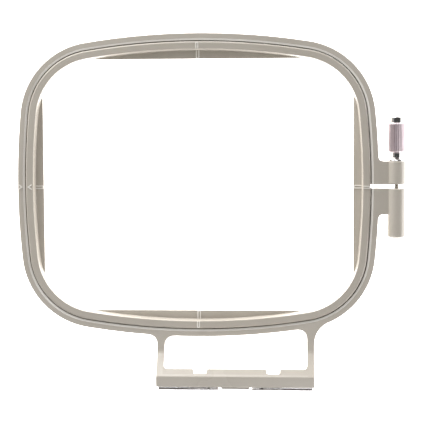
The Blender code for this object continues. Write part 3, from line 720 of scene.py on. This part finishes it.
def upper_plate():
    """Plate between the ring and the upper barrel."""
    ring = HALF_WIDTH + OUTER_OUTER
    inside = ring - OUTER_WALL * PLATE_ROOT_SHARE
    end, split = UPPER_LUG_END - 3 * STEP, SPLIT_TOP_Y + STEP
    curve = bezier((ring + LUG_FILLET, end), (ring - 0.4, end), (ring - 0.4, end + LUG_FILLET))
    outline = [(inside, split), (BARREL_X, split), (BARREL_X, end)] + curve
    outline.append((inside, end + LUG_FILLET))
    return prism("upper_plate", outline, 2 * STEP, OUTER_HEIGHT - STEP, PLATE_ROUNDS)


def lower_plate():
    """Plate between the ring and the lower barrel."""
    ring = HALF_WIDTH + OUTER_OUTER
    inside, end = ring - OUTER_WALL * PLATE_ROOT_SHARE, SPLIT_LOW_Y - LOWER_PLATE_LENGTH
    foot, split = end - LUG_FILLET * 1.4, SPLIT_LOW_Y - STEP
    curve = bezier((ring + LUG_FILLET * 0.7, end), (ring - 0.3, end), (ring - 1.2, foot))
    outline = [(inside, split), (BARREL_X, split), (BARREL_X, end)] + curve
    outline.append((inside - 1.2, foot))
    return prism("lower_plate", outline, 2 * STEP, OUTER_HEIGHT - STEP, PLATE_ROUNDS)


def barrel(name, near, far, far_chamfer):
    """Barrel along Y between two faces, its ends chamfered and softened."""
    way = 1 if far > near else -1
    near, radius = near + way * 2 * STEP, BARREL_RADIUS
    profile = rounded([
        (0, near, 0),
        (radius - 0.9, near, 0.3),
        (radius, near + way * 0.9, 0.3),
        (radius, far - way * far_chamfer * 0.7, 0.4),
        (radius - far_chamfer, far, 0.4),
        (0, far, 0),
    ])
    return turn(name, profile, BARREL_CENTRE)


def box_outline(x_range, y_range, radius=0.9):
    """Rounded rectangle from two ranges."""
    (left, right), (low, high) = x_range, y_range
    return rounded([
        (left, low, radius),
        (right, low, radius),
        (right, high, radius),
        (left, high, radius),
    ])


def screw_centres():
    """(x, z) of the four runner screws, from their own boxes."""
    found = []
    for number in range(1, 5):
        low, high = extent(f"runner_screw_{number}")
        found.append(((low.x + high.x) / 2, (low.z + high.z) / 2))
    return found


def frame_cutters():
    """Clamp bore, insert seat and runner screw holes."""
    seat = INSERT_HIGH.y + FIT_GAP
    seat_radius = half_width(INSERT_LOW, INSERT_HIGH) + FIT_GAP
    low, high = LOWER_LUG_END - BORE_OVERRUN, UPPER_LUG_END + BORE_OVERRUN
    bore = [(0, low), (BORE_RADIUS, low), (BORE_RADIUS, high), (0, high)]
    pocket = [
        (0, LOWER_LUG_END - SEAT_OVERRUN),
        (seat_radius + INSERT_SEAT_FLARE, LOWER_LUG_END - SEAT_OVERRUN),
        (seat_radius, LOWER_LUG_END + 0.4),
        (seat_radius, seat),
        (0, seat),
    ]
    cutters = [
        turn("clamp_bore", bore, BARREL_CENTRE, BORE_STEPS),
        turn("insert_seat", pocket, BARREL_CENTRE, BORE_STEPS),
    ]
    hole = RUNNER_SCREW_RADIUS + FIT_GAP
    for number, place in enumerate(screw_centres()):
        near, far = BAR_FRONT_Y - HOLE_OVERRUN, BAR_FRONT_Y + SHEET + HOLE_OVERRUN
        profile = [(0, near), (hole, near), (hole, far), (0, far)]
        cutters.append(turn(f"screw_hole_{number}", profile, place, HOLE_STEPS))
    return cutters


def arrow(name, tip, way, length, widths, tip_round, height):
    """Raised open arrow whose tip is at X and points towards -way; widths are (outer, inner)."""
    y, (half, slot) = SPLIT_CENTRE_Y, widths
    outline = rounded([
        (tip, y, tip_round),
        (tip + way * length, y + half, ARROW_ROUND),
        (tip + way * length, y + slot, ARROW_ROUND),
        (tip + way * ARROW_NOTCH, y, ARROW_ROUND),
        (tip + way * length, y - slot, ARROW_ROUND),
        (tip + way * length, y - half, ARROW_ROUND),
    ])
    return prism(name, outline, height - MARK_ROOT, height + MARK_HEIGHT, (0, MARK_ROUND))


def outer_arrow():
    """Raised arrow on the outer ring's left side, pointing at the inner ring."""
    tip = -HALF_WIDTH - OUTER_INNER - OUTER_CHAMFER_WIDTH - 0.2
    return arrow("outer_arrow", tip, -1, 3.4, (2.5, 1.4), 0.25, OUTER_HEIGHT)


def build_outer_frame(material, highlight_plastic, shade_plastic):
    """Split ring, lugs and connector as one moulding."""
    ring = sweep("hoop_outer_moulding", split_stations(), outer_section(), False)
    tab_half = TAB_WIDTH / 2
    tab = box_outline(
        (BAR_CENTRE_X - tab_half, BAR_CENTRE_X + tab_half), (RUNNER_FRONT_Y, BAR_FRONT_Y + 1.5)
    )
    added = [
        upper_plate(),
        lower_plate(),
        barrel("upper_barrel", SPLIT_TOP_Y, UPPER_LUG_END, 0.8),
        barrel("lower_barrel", SPLIT_LOW_Y, LOWER_LUG_END, 2.0),
        arm_solid("left_arm", LEFT_ARM_X),
        arm_solid("right_arm", RIGHT_ARM_X),
        bar_solid(),
        strip_solid(),
        prism("tab", tab, TAB_BOTTOM, TAB_TOP, (0.4, 0.5)),
        arm_fillet("fillet_1", LEFT_ARM_X[0], -1, ARM_OUTER_FILLETS[0]),
        arm_fillet("fillet_2", LEFT_ARM_X[1], 1, ARM_INNER_FILLET),
        arm_fillet("fillet_3", RIGHT_ARM_X[0], -1, ARM_INNER_FILLET),
        arm_fillet("fillet_4", RIGHT_ARM_X[1], 1, ARM_OUTER_FILLETS[1]),
        outer_arrow(),
    ]
    merge(ring, added, frame_cutters())
    finish_piece(ring, material, "frame", ["outer_frame"])
    # Painted highlight on the raised arrow, then on the chamfer.
    low = (-HALF_WIDTH - OUTER_OUTER, -4, OUTER_HEIGHT + ZONE_LIFT)
    index = paint_light_zones(ring, highlight_plastic, [(low, (-HALF_WIDTH, 4, OUTER_HEIGHT + 1))])
    # Painted highlight on the chamfer beside the groove.
    paint_chamfer_highlight(ring, index)
    # Painted shade on the tab that stands out below the bar.
    low = (BAR_CENTRE_X - TAB_WIDTH, RUNNER_FRONT_Y - 1, TAB_BOTTOM - 1)
    high = (BAR_CENTRE_X + TAB_WIDTH, BAR_FRONT_Y - ZONE_LIFT, TAB_TOP + 1)
    paint_light_zones(ring, shade_plastic, [(low, high)])


# ---------------------------------------------------------------- inner ring


def web_outline(side, limit):
    """(x, y) outline of a web between its straight inner edge and the ring's wall."""
    axis = 0 if side[0] else 1
    sign = side[axis]

    def beyond(offset):
        curve = [station_point(station, offset) for station in closed_stations()]
        curve = [point for point in curve if point[axis] * sign > limit + 0.02]
        return sorted(curve, key=lambda point: point[1 - axis])

    near = beyond(INNER_BASE_EDGE + WEB_END_OVERLAP)
    start, end = near[0][1 - axis], near[-1][1 - axis]
    far = [p for p in beyond(INNER_BASE_EDGE + WEB_OVERLAP) if start < p[1 - axis] < end]
    corners = [(limit * sign, start), (far[0][axis], start)]
    closing = [(far[-1][axis], end), (limit * sign, end)]
    if axis == 1:
        corners = [point[::-1] for point in corners]
        closing = [point[::-1] for point in closing]
    return corners + far + closing


def turned_outline(local, centre, way):
    """Outline of (along, across) points placed at a centre and turned to face a way."""
    x, y = way
    return [(centre[0] + u * x - v * y, centre[1] + u * y + v * x) for u, v in local]


def slotted_mark(name, centre, way, length):
    """Raised centre mark on a web: a U-shaped rib that is closed at the window side."""
    half, slot, stop = 1.6, 0.55, 0.9
    local = rounded([
        (0, -half, 0.3),
        (length, -half, 0),
        (length, -slot, 0),
        (stop, -slot, 0.3),
        (stop, slot, 0.3),
        (length, slot, 0),
        (length, half, 0),
        (0, half, 0.3),
    ])
    outline = turned_outline(local, centre, way)
    return prism(name, outline, WEB_TOP - 0.8, WEB_TOP + MARK_HEIGHT, (0, MARK_ROUND))


def face_mark(name, centre, way):
    """Raised centre mark on the inner ring's top face."""
    tip, half, slot = INNER_FACE - 1.0, 1.3, 0.4
    local = rounded([
        (0, -half, 0.3),
        (tip, -half, 0.4),
        (tip, half, 0.4),
        (0, half, 0.3),
        (0, slot, 0.2),
        (tip - 0.8, slot, 0.2),
        (tip - 0.8, -slot, 0.2),
        (0, -slot, 0.2),
    ])
    outline = turned_outline(local, centre, way)
    low, high = INNER_HEIGHT - MARK_ROOT, INNER_HEIGHT + MARK_HEIGHT
    return prism(name, outline, low, high, (0, MARK_ROUND))


def inner_arrow():
    """Raised arrow on the inner ring's left side, facing the one on the outer ring."""
    tip = -HALF_WIDTH + GROOVE_GAP / 2 + INNER_CHAMFER + 0.4
    return arrow("inner_arrow", tip, 1, 4.0, (2.7, 1.6), 0.3, INNER_HEIGHT)


def build_inner_ring(material, highlight_plastic):
    """Inner ring with its four webs and raised marks."""
    ring = sweep("hoop_inner_moulding", closed_stations(), inner_section(), True)
    sides = {"right": (1, 0), "top": (0, 1), "left": (-1, 0), "bottom": (0, -1)}
    added = [inner_arrow()]
    # Painted highlight on the raised marks: the tops above the ring's face and above each web.
    zones = [((-200, -200, INNER_HEIGHT + ZONE_LIFT), (200, 200, INNER_HEIGHT + 1))]
    for name, way in sides.items():
        reach = HALF_WIDTH if way[0] else HALF_DEPTH
        limit = reach - (WEB_REACH_SIDES if way[0] else WEB_REACH_ENDS)
        web = prism(f"web_{name}", web_outline(way, limit), WEB_BASE, WEB_TOP, (0.4, 0.45))
        shift = (abs(way[1]) * MARK_SHIFT[0], abs(way[0]) * (SPLIT_CENTRE_Y + MARK_SHIFT[1]))
        near = limit + WEB_MARK_INSET
        start = (way[0] * near + shift[0], way[1] * near + shift[1])
        length = reach + INNER_BASE_EDGE - limit + 0.6
        added += [web, slotted_mark(f"web_mark_{name}", start, way, length)]
        inner = turned_outline([(-0.5, -2), (length - 0.6, 2)], start, way)
        low = [min(a, b) for a, b in zip(*inner)] + [WEB_TOP + ZONE_LIFT]
        high = [max(a, b) for a, b in zip(*inner)] + [WEB_TOP + 1]
        zones.append((low, high))
        if name != "left":
            near = reach + INNER_TOP_EDGE + 0.3
            centre = (way[0] * near + shift[0], way[1] * near + shift[1])
            added.append(face_mark(f"face_mark_{name}", centre, way))
    merge(ring, added)
    finish_piece(ring, material, "inner", ["inner_ring"])
    # Painted highlight on the raised marks.
    paint_light_zones(ring, highlight_plastic, zones)


# ---------------------------------------------------------------- clamp screw


def thread(radius, y, angle):
    """Radius of the helical thread; plain where the profile isn't the shank."""
    if radius > THREAD_RADIUS + 0.01:
        return radius
    turn_share = (y / THREAD_PITCH + angle / (2 * math.pi)) % 1.0
    return radius - THREAD_DEPTH * abs(2 * turn_share - 1)


def build_clamp_screw(material):
    """Threaded shank, neck, core and end cap in one turned piece."""
    tip, cap_high = SCREW_LOW.y, SCREW_HIGH.y
    neck_low = WASHER_HIGH.y + FIT_GAP
    neck_high, cap_low = SLEEVE_LOW.y - FIT_GAP, SLEEVE_HIGH.y + FIT_GAP
    cap = half_width(SCREW_LOW, SCREW_HIGH)
    profile = [(0.0, tip), (THREAD_RADIUS - 0.6, tip)]
    rings = int((neck_low - tip - 0.6) / THREAD_PITCH * THREAD_RINGS_PER_TURN)
    step = (neck_low - tip - 0.6) / rings
    profile += [(THREAD_RADIUS, tip + 0.6 + step * i) for i in range(rings)]
    profile += rounded([
        (THREAD_RADIUS, neck_low, 0),
        (NECK_RADIUS, neck_low, 0.5),
        (NECK_RADIUS, neck_high, 0.5),
        (SLEEVE_CORE_RADIUS, neck_high, 0.0),
        (SLEEVE_CORE_RADIUS, cap_low, 0.0),
        (cap, cap_low, 0.5),
        (cap, cap_high - 1.4, 0.6),
        (cap - 1.4, cap_high, 0.6),
        (0, cap_high, 0),
    ])
    screw = turn("clamp_screw_turned", profile, BARREL_CENTRE, THREAD_STEPS, shape=thread)
    finish_piece(screw, material, "screw", ["clamp_screw"], TURNED_SHARP_ANGLE)


def knurl(radius, _, angle):
    """Radius of the sleeve's straight knurl: sharp grooves between rounded ridges."""
    outer = half_width(SLEEVE_LOW, SLEEVE_HIGH)
    if radius < outer - 0.6:
        return radius
    wave = abs(math.sin(KNURL_COUNT * angle / 2))
    return radius - KNURL_DEPTH * (1 - wave**KNURL_SHARPNESS)


def build_sleeve(material):
    """Knurled sleeve with plain turned bands at its two ends."""
    inner, outer = SLEEVE_CORE_RADIUS + FIT_GAP, half_width(SLEEVE_LOW, SLEEVE_HIGH)
    low, high = SLEEVE_LOW.y, SLEEVE_HIGH.y
    profile = [
        (inner, low),
        (outer - 1.5, low),
        (outer - 0.9, low + 0.35),
        (outer - 0.3, low + 0.8),
        (outer, low + 1.3),
        (outer, (low + high) / 2),
        (outer, high - 1.1),
        (outer - 0.3, high - 0.6),
        (outer - 0.9, high - 0.2),
        (outer - 1.3, high),
        (inner, high),
    ]
    sleeve = turn("knob_sleeve_knurled", profile, BARREL_CENTRE, KNURL_STEPS, True, knurl)
    finish_piece(sleeve, material, "screw", ["knob_sleeve"], KNURL_SHARP_ANGLE)


def build_washer(material):
    """Domed cup washer."""
    low, high = WASHER_LOW.y, WASHER_HIGH.y
    outer = half_width(WASHER_LOW, WASHER_HIGH)
    dome = bezier((outer, low + 0.55), (outer - 0.7, high), (NECK_RADIUS - 0.5, high), 10)
    profile = [(BORE_RADIUS, low + 1.0), (outer - 0.6, low), (outer - 0.1, low + 0.15)]
    profile += dome + [(BORE_RADIUS, high)]
    washer = turn("cup_washer_domed", profile, BARREL_CENTRE, tube=True)
    finish_piece(washer, material, "washer", ["cup_washer"])


def insert_knurl(radius, _, angle):
    """Radius of the insert: grooves along its outside, as on a moulded-in nut."""
    if radius < BORE_RADIUS + 1:
        return radius
    return radius - INSERT_GROOVE_DEPTH * abs(math.sin(INSERT_GROOVES * angle))


def build_insert(material):
    """Brass insert in the lower lug, its bore plain."""
    low, high = INSERT_LOW.y, INSERT_HIGH.y
    outer = half_width(INSERT_LOW, INSERT_HIGH)
    profile = [
        (BORE_RADIUS, low + 0.3),
        (BORE_RADIUS + 0.3, low),
        (outer - 0.3, low),
        (outer, low + 0.3),
        (outer, high - 0.3),
        (outer - 0.3, high),
        (BORE_RADIUS, high),
    ]
    insert = turn("thread_insert_turned", profile, BARREL_CENTRE, tube=True, shape=insert_knurl)
    finish_piece(insert, material, "frame", ["thread_insert"], TURNED_SHARP_ANGLE)


# ---------------------------------------------------------------- runners


def build_runner(name, node, ledge_left, centres, material):
    """Bent steel runner with a ledge along its outer half and two countersunk holes."""
    low, high = extent(node)
    front, back = RUNNER_FRONT_Y, BAR_FRONT_Y - FIT_GAP
    bottom, top, sheet = BAR_WALL_BOTTOM, RUNNER_TOP, RUNNER_SHEET
    outline = rounded([
        (front, bottom, 1.4),
        (back, bottom, 0),
        (back, bottom + sheet, 0),
        (front + sheet, bottom + sheet, 0),
        (front + sheet, top, 0.6),
        (front, top, 0.65),
    ])
    runner = prism(name, outline, low.x, high.x, (0.2, 0.2), sideways)
    ledge = [
        (front + sheet / 2, LEDGE_TOP - sheet),
        (back, LEDGE_TOP - sheet),
        (back, LEDGE_TOP),
        (front + sheet / 2, LEDGE_TOP),
    ]
    middle = (low.x + high.x) / 2
    ledge_range = (low.x + 0.4, middle) if ledge_left else (middle, high.x - 0.4)
    added = [prism(name + "_ledge", ledge, *ledge_range, (0.2, 0.2), sideways)]
    cutters = []
    for x, z in centres:
        wide, hole = RUNNER_SCREW_HEAD + FIT_GAP, RUNNER_SCREW_RADIUS + FIT_GAP
        profile = [(0, front - 2), (wide, front - 2), (wide, front)]
        profile += [(hole, front + sheet * COUNTERSINK_SHARE), (hole, front + sheet + 0.5)]
        profile.append((0, front + sheet + 0.5))
        cutters.append(turn(name + "_hole", profile, (x, z), BORE_STEPS))
    merge(runner, added, cutters)
    finish_piece(runner, material, "frame", [node])


def build_runner_screw(number, centre, material):
    """Countersunk runner screw with a cross recess."""
    low, high = extent(f"runner_screw_{number}")
    face, end = low.y, high.y
    profile = rounded([
        (0, face, 0),
        (RUNNER_SCREW_HEAD, face, 0.15),
        (RUNNER_SCREW_RADIUS, face + RUNNER_SHEET * COUNTERSINK_SHARE, 0.2),
        (RUNNER_SCREW_RADIUS, end - 0.6, 0.1),
        (0, end, 0),
    ])
    screw = turn(f"runner_screw_turned_{number}", profile, centre, BORE_STEPS)
    x, z = centre
    cross = []
    for along, across in ((RECESS_REACH, RECESS_WIDTH), (RECESS_WIDTH, RECESS_REACH)):
        outline = box_outline((x - along, x + along), (z - across, z + across), 0.1)
        deep = face + RECESS_DEPTH
        cross.append(prism("recess", outline, face - 1, deep, place=facing_front))
    merge(screw, (), cross)
    nodes = [f"runner_screw_{number}"]
    finish_piece(screw, material, "frame", nodes)


# ---------------------------------------------------------------- materials


def new_material(name):
    """Empty node material: (material, nodes, links, shader)."""
    material = bpy.data.materials.new(name)
    material.use_nodes = True
    nodes, links = material.node_tree.nodes, material.node_tree.links
    return material, nodes, links, nodes["Principled BSDF"]


def noise(nodes, links, coords, scale, detail=3.0, stretch=(1, 1, 1)):
    """Noise in the object's own coordinates, stretched along an axis if asked."""
    mapping = nodes.new("ShaderNodeMapping")
    mapping.inputs["Scale"].default_value = stretch
    links.new(coords, mapping.inputs["Vector"])
    texture = nodes.new("ShaderNodeTexNoise")
    texture.inputs["Scale"].default_value = scale
    texture.inputs["Detail"].default_value = detail
    links.new(mapping.outputs["Vector"], texture.inputs["Vector"])
    return texture.outputs["Fac"]


def remap(nodes, links, value, from_range, to_range):
    """Map one range of a value to another, clamped."""
    node = nodes.new("ShaderNodeMapRange")
    names = ("From Min", "From Max", "To Min", "To Max")
    for name, number in zip(names, (*from_range, *to_range)):
        node.inputs[name].default_value = number
    links.new(value, node.inputs["Value"])
    return node.outputs["Result"]


def blend(nodes, links, share, first, second):
    """Mix two colours, each a socket or a tuple, by a share."""
    node = nodes.new("ShaderNodeMix")
    node.data_type = "RGBA"
    links.new(share, node.inputs["Factor"])
    for number, colour in ((MIX_FIRST, first), (MIX_SECOND, second)):
        if isinstance(colour, tuple):
            node.inputs[number].default_value = (*colour, 1.0)
        else:
            links.new(colour, node.inputs[number])
    return node.outputs[MIX_RESULT]


def bump(nodes, links, height, shader, strength, distance):
    """Bump on a shader from a height."""
    node = nodes.new("ShaderNodeBump")
    node.inputs["Strength"].default_value = strength
    node.inputs["Distance"].default_value = distance
    links.new(height, node.inputs["Height"])
    links.new(node.outputs["Normal"], shader.inputs["Normal"])


def plastic(name, light, dark, edge_highlight):
    """Warm grey satin moulding: mottled tone, fine moulded grain, painted highlight on convex
    edges.
    """
    material, nodes, links, shader = new_material(name)
    coords = nodes.new("ShaderNodeTexCoord").outputs["Object"]
    broad = noise(nodes, links, coords, scale=22.0, detail=4.0)
    grain = noise(nodes, links, coords, scale=2600.0, detail=2.0)
    specks = noise(nodes, links, coords, scale=900.0, detail=1.0)
    tone = blend(nodes, links, remap(nodes, links, broad, (0.35, 0.65), (0.0, 1.0)), light, dark)
    speck_share = remap(nodes, links, specks, (0.66, 0.74), (0.0, 0.25))
    tone = blend(nodes, links, speck_share, tone, dark)
    # Painted highlight: convex edges blended towards a lighter tone.
    pointiness = nodes.new("ShaderNodeNewGeometry").outputs["Pointiness"]
    edges = remap(nodes, links, pointiness, (0.53, 0.62), (0.0, 0.55))
    tone = blend(nodes, links, edges, tone, edge_highlight)
    links.new(tone, shader.inputs["Base Color"])
    rough = remap(nodes, links, broad, (0.3, 0.7), (0.2, 0.28))
    links.new(rough, shader.inputs["Roughness"])
    shader.inputs["Specular IOR Level"].default_value = 0.5
    shader.inputs["IOR"].default_value = 1.52
    bump(nodes, links, grain, shader, strength=0.16, distance=0.00012)
    return material


def metal(name, light, dark, roughness, stretch):
    """Plated or bare metal: tool marks along an axis, tarnish and uneven gloss."""
    material, nodes, links, shader = new_material(name)
    coords = nodes.new("ShaderNodeTexCoord").outputs["Object"]
    lines = noise(nodes, links, coords, scale=420.0, stretch=stretch)
    patches = noise(nodes, links, coords, scale=160.0)
    share = remap(nodes, links, patches, (0.42, 0.72), (0.0, TARNISH_SHARE))
    tone = blend(nodes, links, share, light, dark)
    links.new(tone, shader.inputs["Base Color"])
    shader.inputs["Metallic"].default_value = 1.0
    links.new(remap(nodes, links, lines, (0.3, 0.7), roughness), shader.inputs["Roughness"])
    bump(nodes, links, lines, shader, strength=0.12, distance=0.00005)
    return material


def plated_knob(name):
    """Pinkish nickel plate on a knurl: bright ridges, with painted shade darkening the grooves."""
    material, nodes, links, shader = new_material(name)
    coords = nodes.new("ShaderNodeTexCoord").outputs["Object"]
    patches = noise(nodes, links, coords, scale=300.0)
    tone = blend(nodes, links, patches, *KNOB_TONES)
    # Painted shade: concave grooves of the knurl darkened.
    pointiness = nodes.new("ShaderNodeNewGeometry").outputs["Pointiness"]
    grooves = remap(nodes, links, pointiness, (0.36, 0.5), (1.0, 0.0))
    tone = blend(nodes, links, grooves, tone, KNOB_GROOVE_SHADE)
    links.new(tone, shader.inputs["Base Color"])
    shader.inputs["Metallic"].default_value = 1.0
    rough = remap(nodes, links, patches, (0.3, 0.7), (0.36, 0.48))
    links.new(rough, shader.inputs["Roughness"])
    bump(nodes, links, patches, shader, strength=0.1, distance=0.00005)
    return material


# ---------------------------------------------------------------- studio


def build_floor():
    """Plain pale light-box floor."""
    half = FLOOR_HALF
    mesh = bpy.data.meshes.new("floor")
    corners = [(-half, -half, 0), (half, -half, 0), (half, half, 0), (-half, half, 0)]
    mesh.from_pydata([Vector(corner) for corner in corners], [], [(0, 1, 2, 3)])
    floor = bpy.data.objects.new("floor", mesh)
    floor.location.z = CAD_BOX[0].z - FLOOR_DROP
    bpy.context.scene.collection.objects.link(floor)
    material, nodes, links, shader = new_material("white_floor")
    coords = nodes.new("ShaderNodeTexCoord").outputs["Object"]
    mottle = noise(nodes, links, coords, scale=6.0)
    tone = blend(nodes, links, mottle, (0.86, 0.86, 0.86), (0.8, 0.8, 0.8))
    links.new(tone, shader.inputs["Base Color"])
    shader.inputs["Roughness"].default_value = 0.7
    shader.inputs["Emission Color"].default_value = WHITE
    shader.inputs["Emission Strength"].default_value = FLOOR_GLOW
    mesh.materials.append(material)


def build_world():
    """Sky of a light tent: bright towards the horizon and dim overhead."""
    world = bpy.data.worlds.new("tent")
    bpy.context.scene.world = world
    world.use_nodes = True
    nodes, links = world.node_tree.nodes, world.node_tree.links
    background = nodes["Background"]
    coords = nodes.new("ShaderNodeTexCoord").outputs["Generated"]
    split = nodes.new("ShaderNodeSeparateXYZ")
    links.new(coords, split.inputs["Vector"])
    glow = remap(nodes, links, split.outputs["Z"], (0.3, 0.7), (HORIZON_GLOW, ZENITH_GLOW))
    links.new(glow, background.inputs["Strength"])
    background.inputs["Color"].default_value = WHITE


def add_light(name, place, target, size, power):
    """Soft rectangular light that faces a target; both are in metres from the rings' centre."""
    data = bpy.data.lights.new(name, "AREA")
    data.shape = "RECTANGLE"
    data.size, data.size_y = size
    data.energy = power
    light = bpy.data.objects.new(name, data)
    light.location = RING_CENTRE + Vector(place)
    facing = Vector(target) - Vector(place)
    light.rotation_euler = facing.to_track_quat("-Z", "Y").to_euler()
    light.visible_camera = False
    bpy.context.scene.collection.objects.link(light)


def build_camera():
    """Long lens above the hoop, a little off square."""
    data = bpy.data.cameras.new("camera")
    data.sensor_width = SENSOR_WIDTH
    data.lens = SENSOR_WIDTH * CAMERA_FOCAL_SHARE
    data.clip_start, data.clip_end = 0.01, 20.0
    camera = bpy.data.objects.new("camera", data)
    tilt_x, tilt_y, roll = CAMERA_TURNS
    turned = Matrix.Rotation(roll, 3, "Z") @ Matrix.Rotation(tilt_x, 3, "X")
    turned = turned @ Matrix.Rotation(tilt_y, 3, "Y")
    camera.rotation_euler = turned.transposed().to_euler()
    camera.location = RING_CENTRE + Vector(CAMERA_PLACE) * MM
    bpy.context.scene.collection.objects.link(camera)
    bpy.context.scene.camera = camera


def build_studio():
    """Floor, tent, soft lights and the camera."""
    build_floor()
    build_world()
    for light in LIGHTS:
        add_light(*light)
    build_camera()
    bpy.context.scene.view_settings.view_transform = "Standard"


def build_object():
    """Every visible piece of the hoop."""
    outer_grey = plastic("outer_moulding", *OUTER_GREYS)
    inner_grey = plastic("inner_moulding", *INNER_GREYS)
    bright = metal("polished_nickel", *NICKEL_TONES, roughness=(0.08, 0.2), stretch=(1, 8, 1))
    brass = metal("turned_brass", *BRASS_TONES, roughness=(0.22, 0.4), stretch=(1, 9, 1))
    steel = metal("runner_steel", *STEEL_TONES, roughness=(0.16, 0.34), stretch=(0.08, 3, 3))
    knob = plated_knob("knob_plating")
    # Lighter plastic paints a highlight on the raised marks and the chamfer; darker plastic paints
    # shade on the tab.
    highlight_plastic = plastic("painted_highlight_marks", *HIGHLIGHT_TONES)
    shade_plastic = plastic("dusty_tab", *TAB_SHADE_TONES)
    build_outer_frame(outer_grey, highlight_plastic, shade_plastic)
    build_inner_ring(inner_grey, highlight_plastic)
    build_clamp_screw(bright)
    build_sleeve(knob)
    build_washer(bright)
    build_insert(brass)
    centres = screw_centres()
    build_runner("runner_left_bent", "runner_left", True, centres[:2], steel)
    build_runner("runner_right_bent", "runner_right", False, centres[2:], steel)
    for number, centre in enumerate(centres, 1):
        build_runner_screw(number, centre, bright)


build_object()
build_studio()
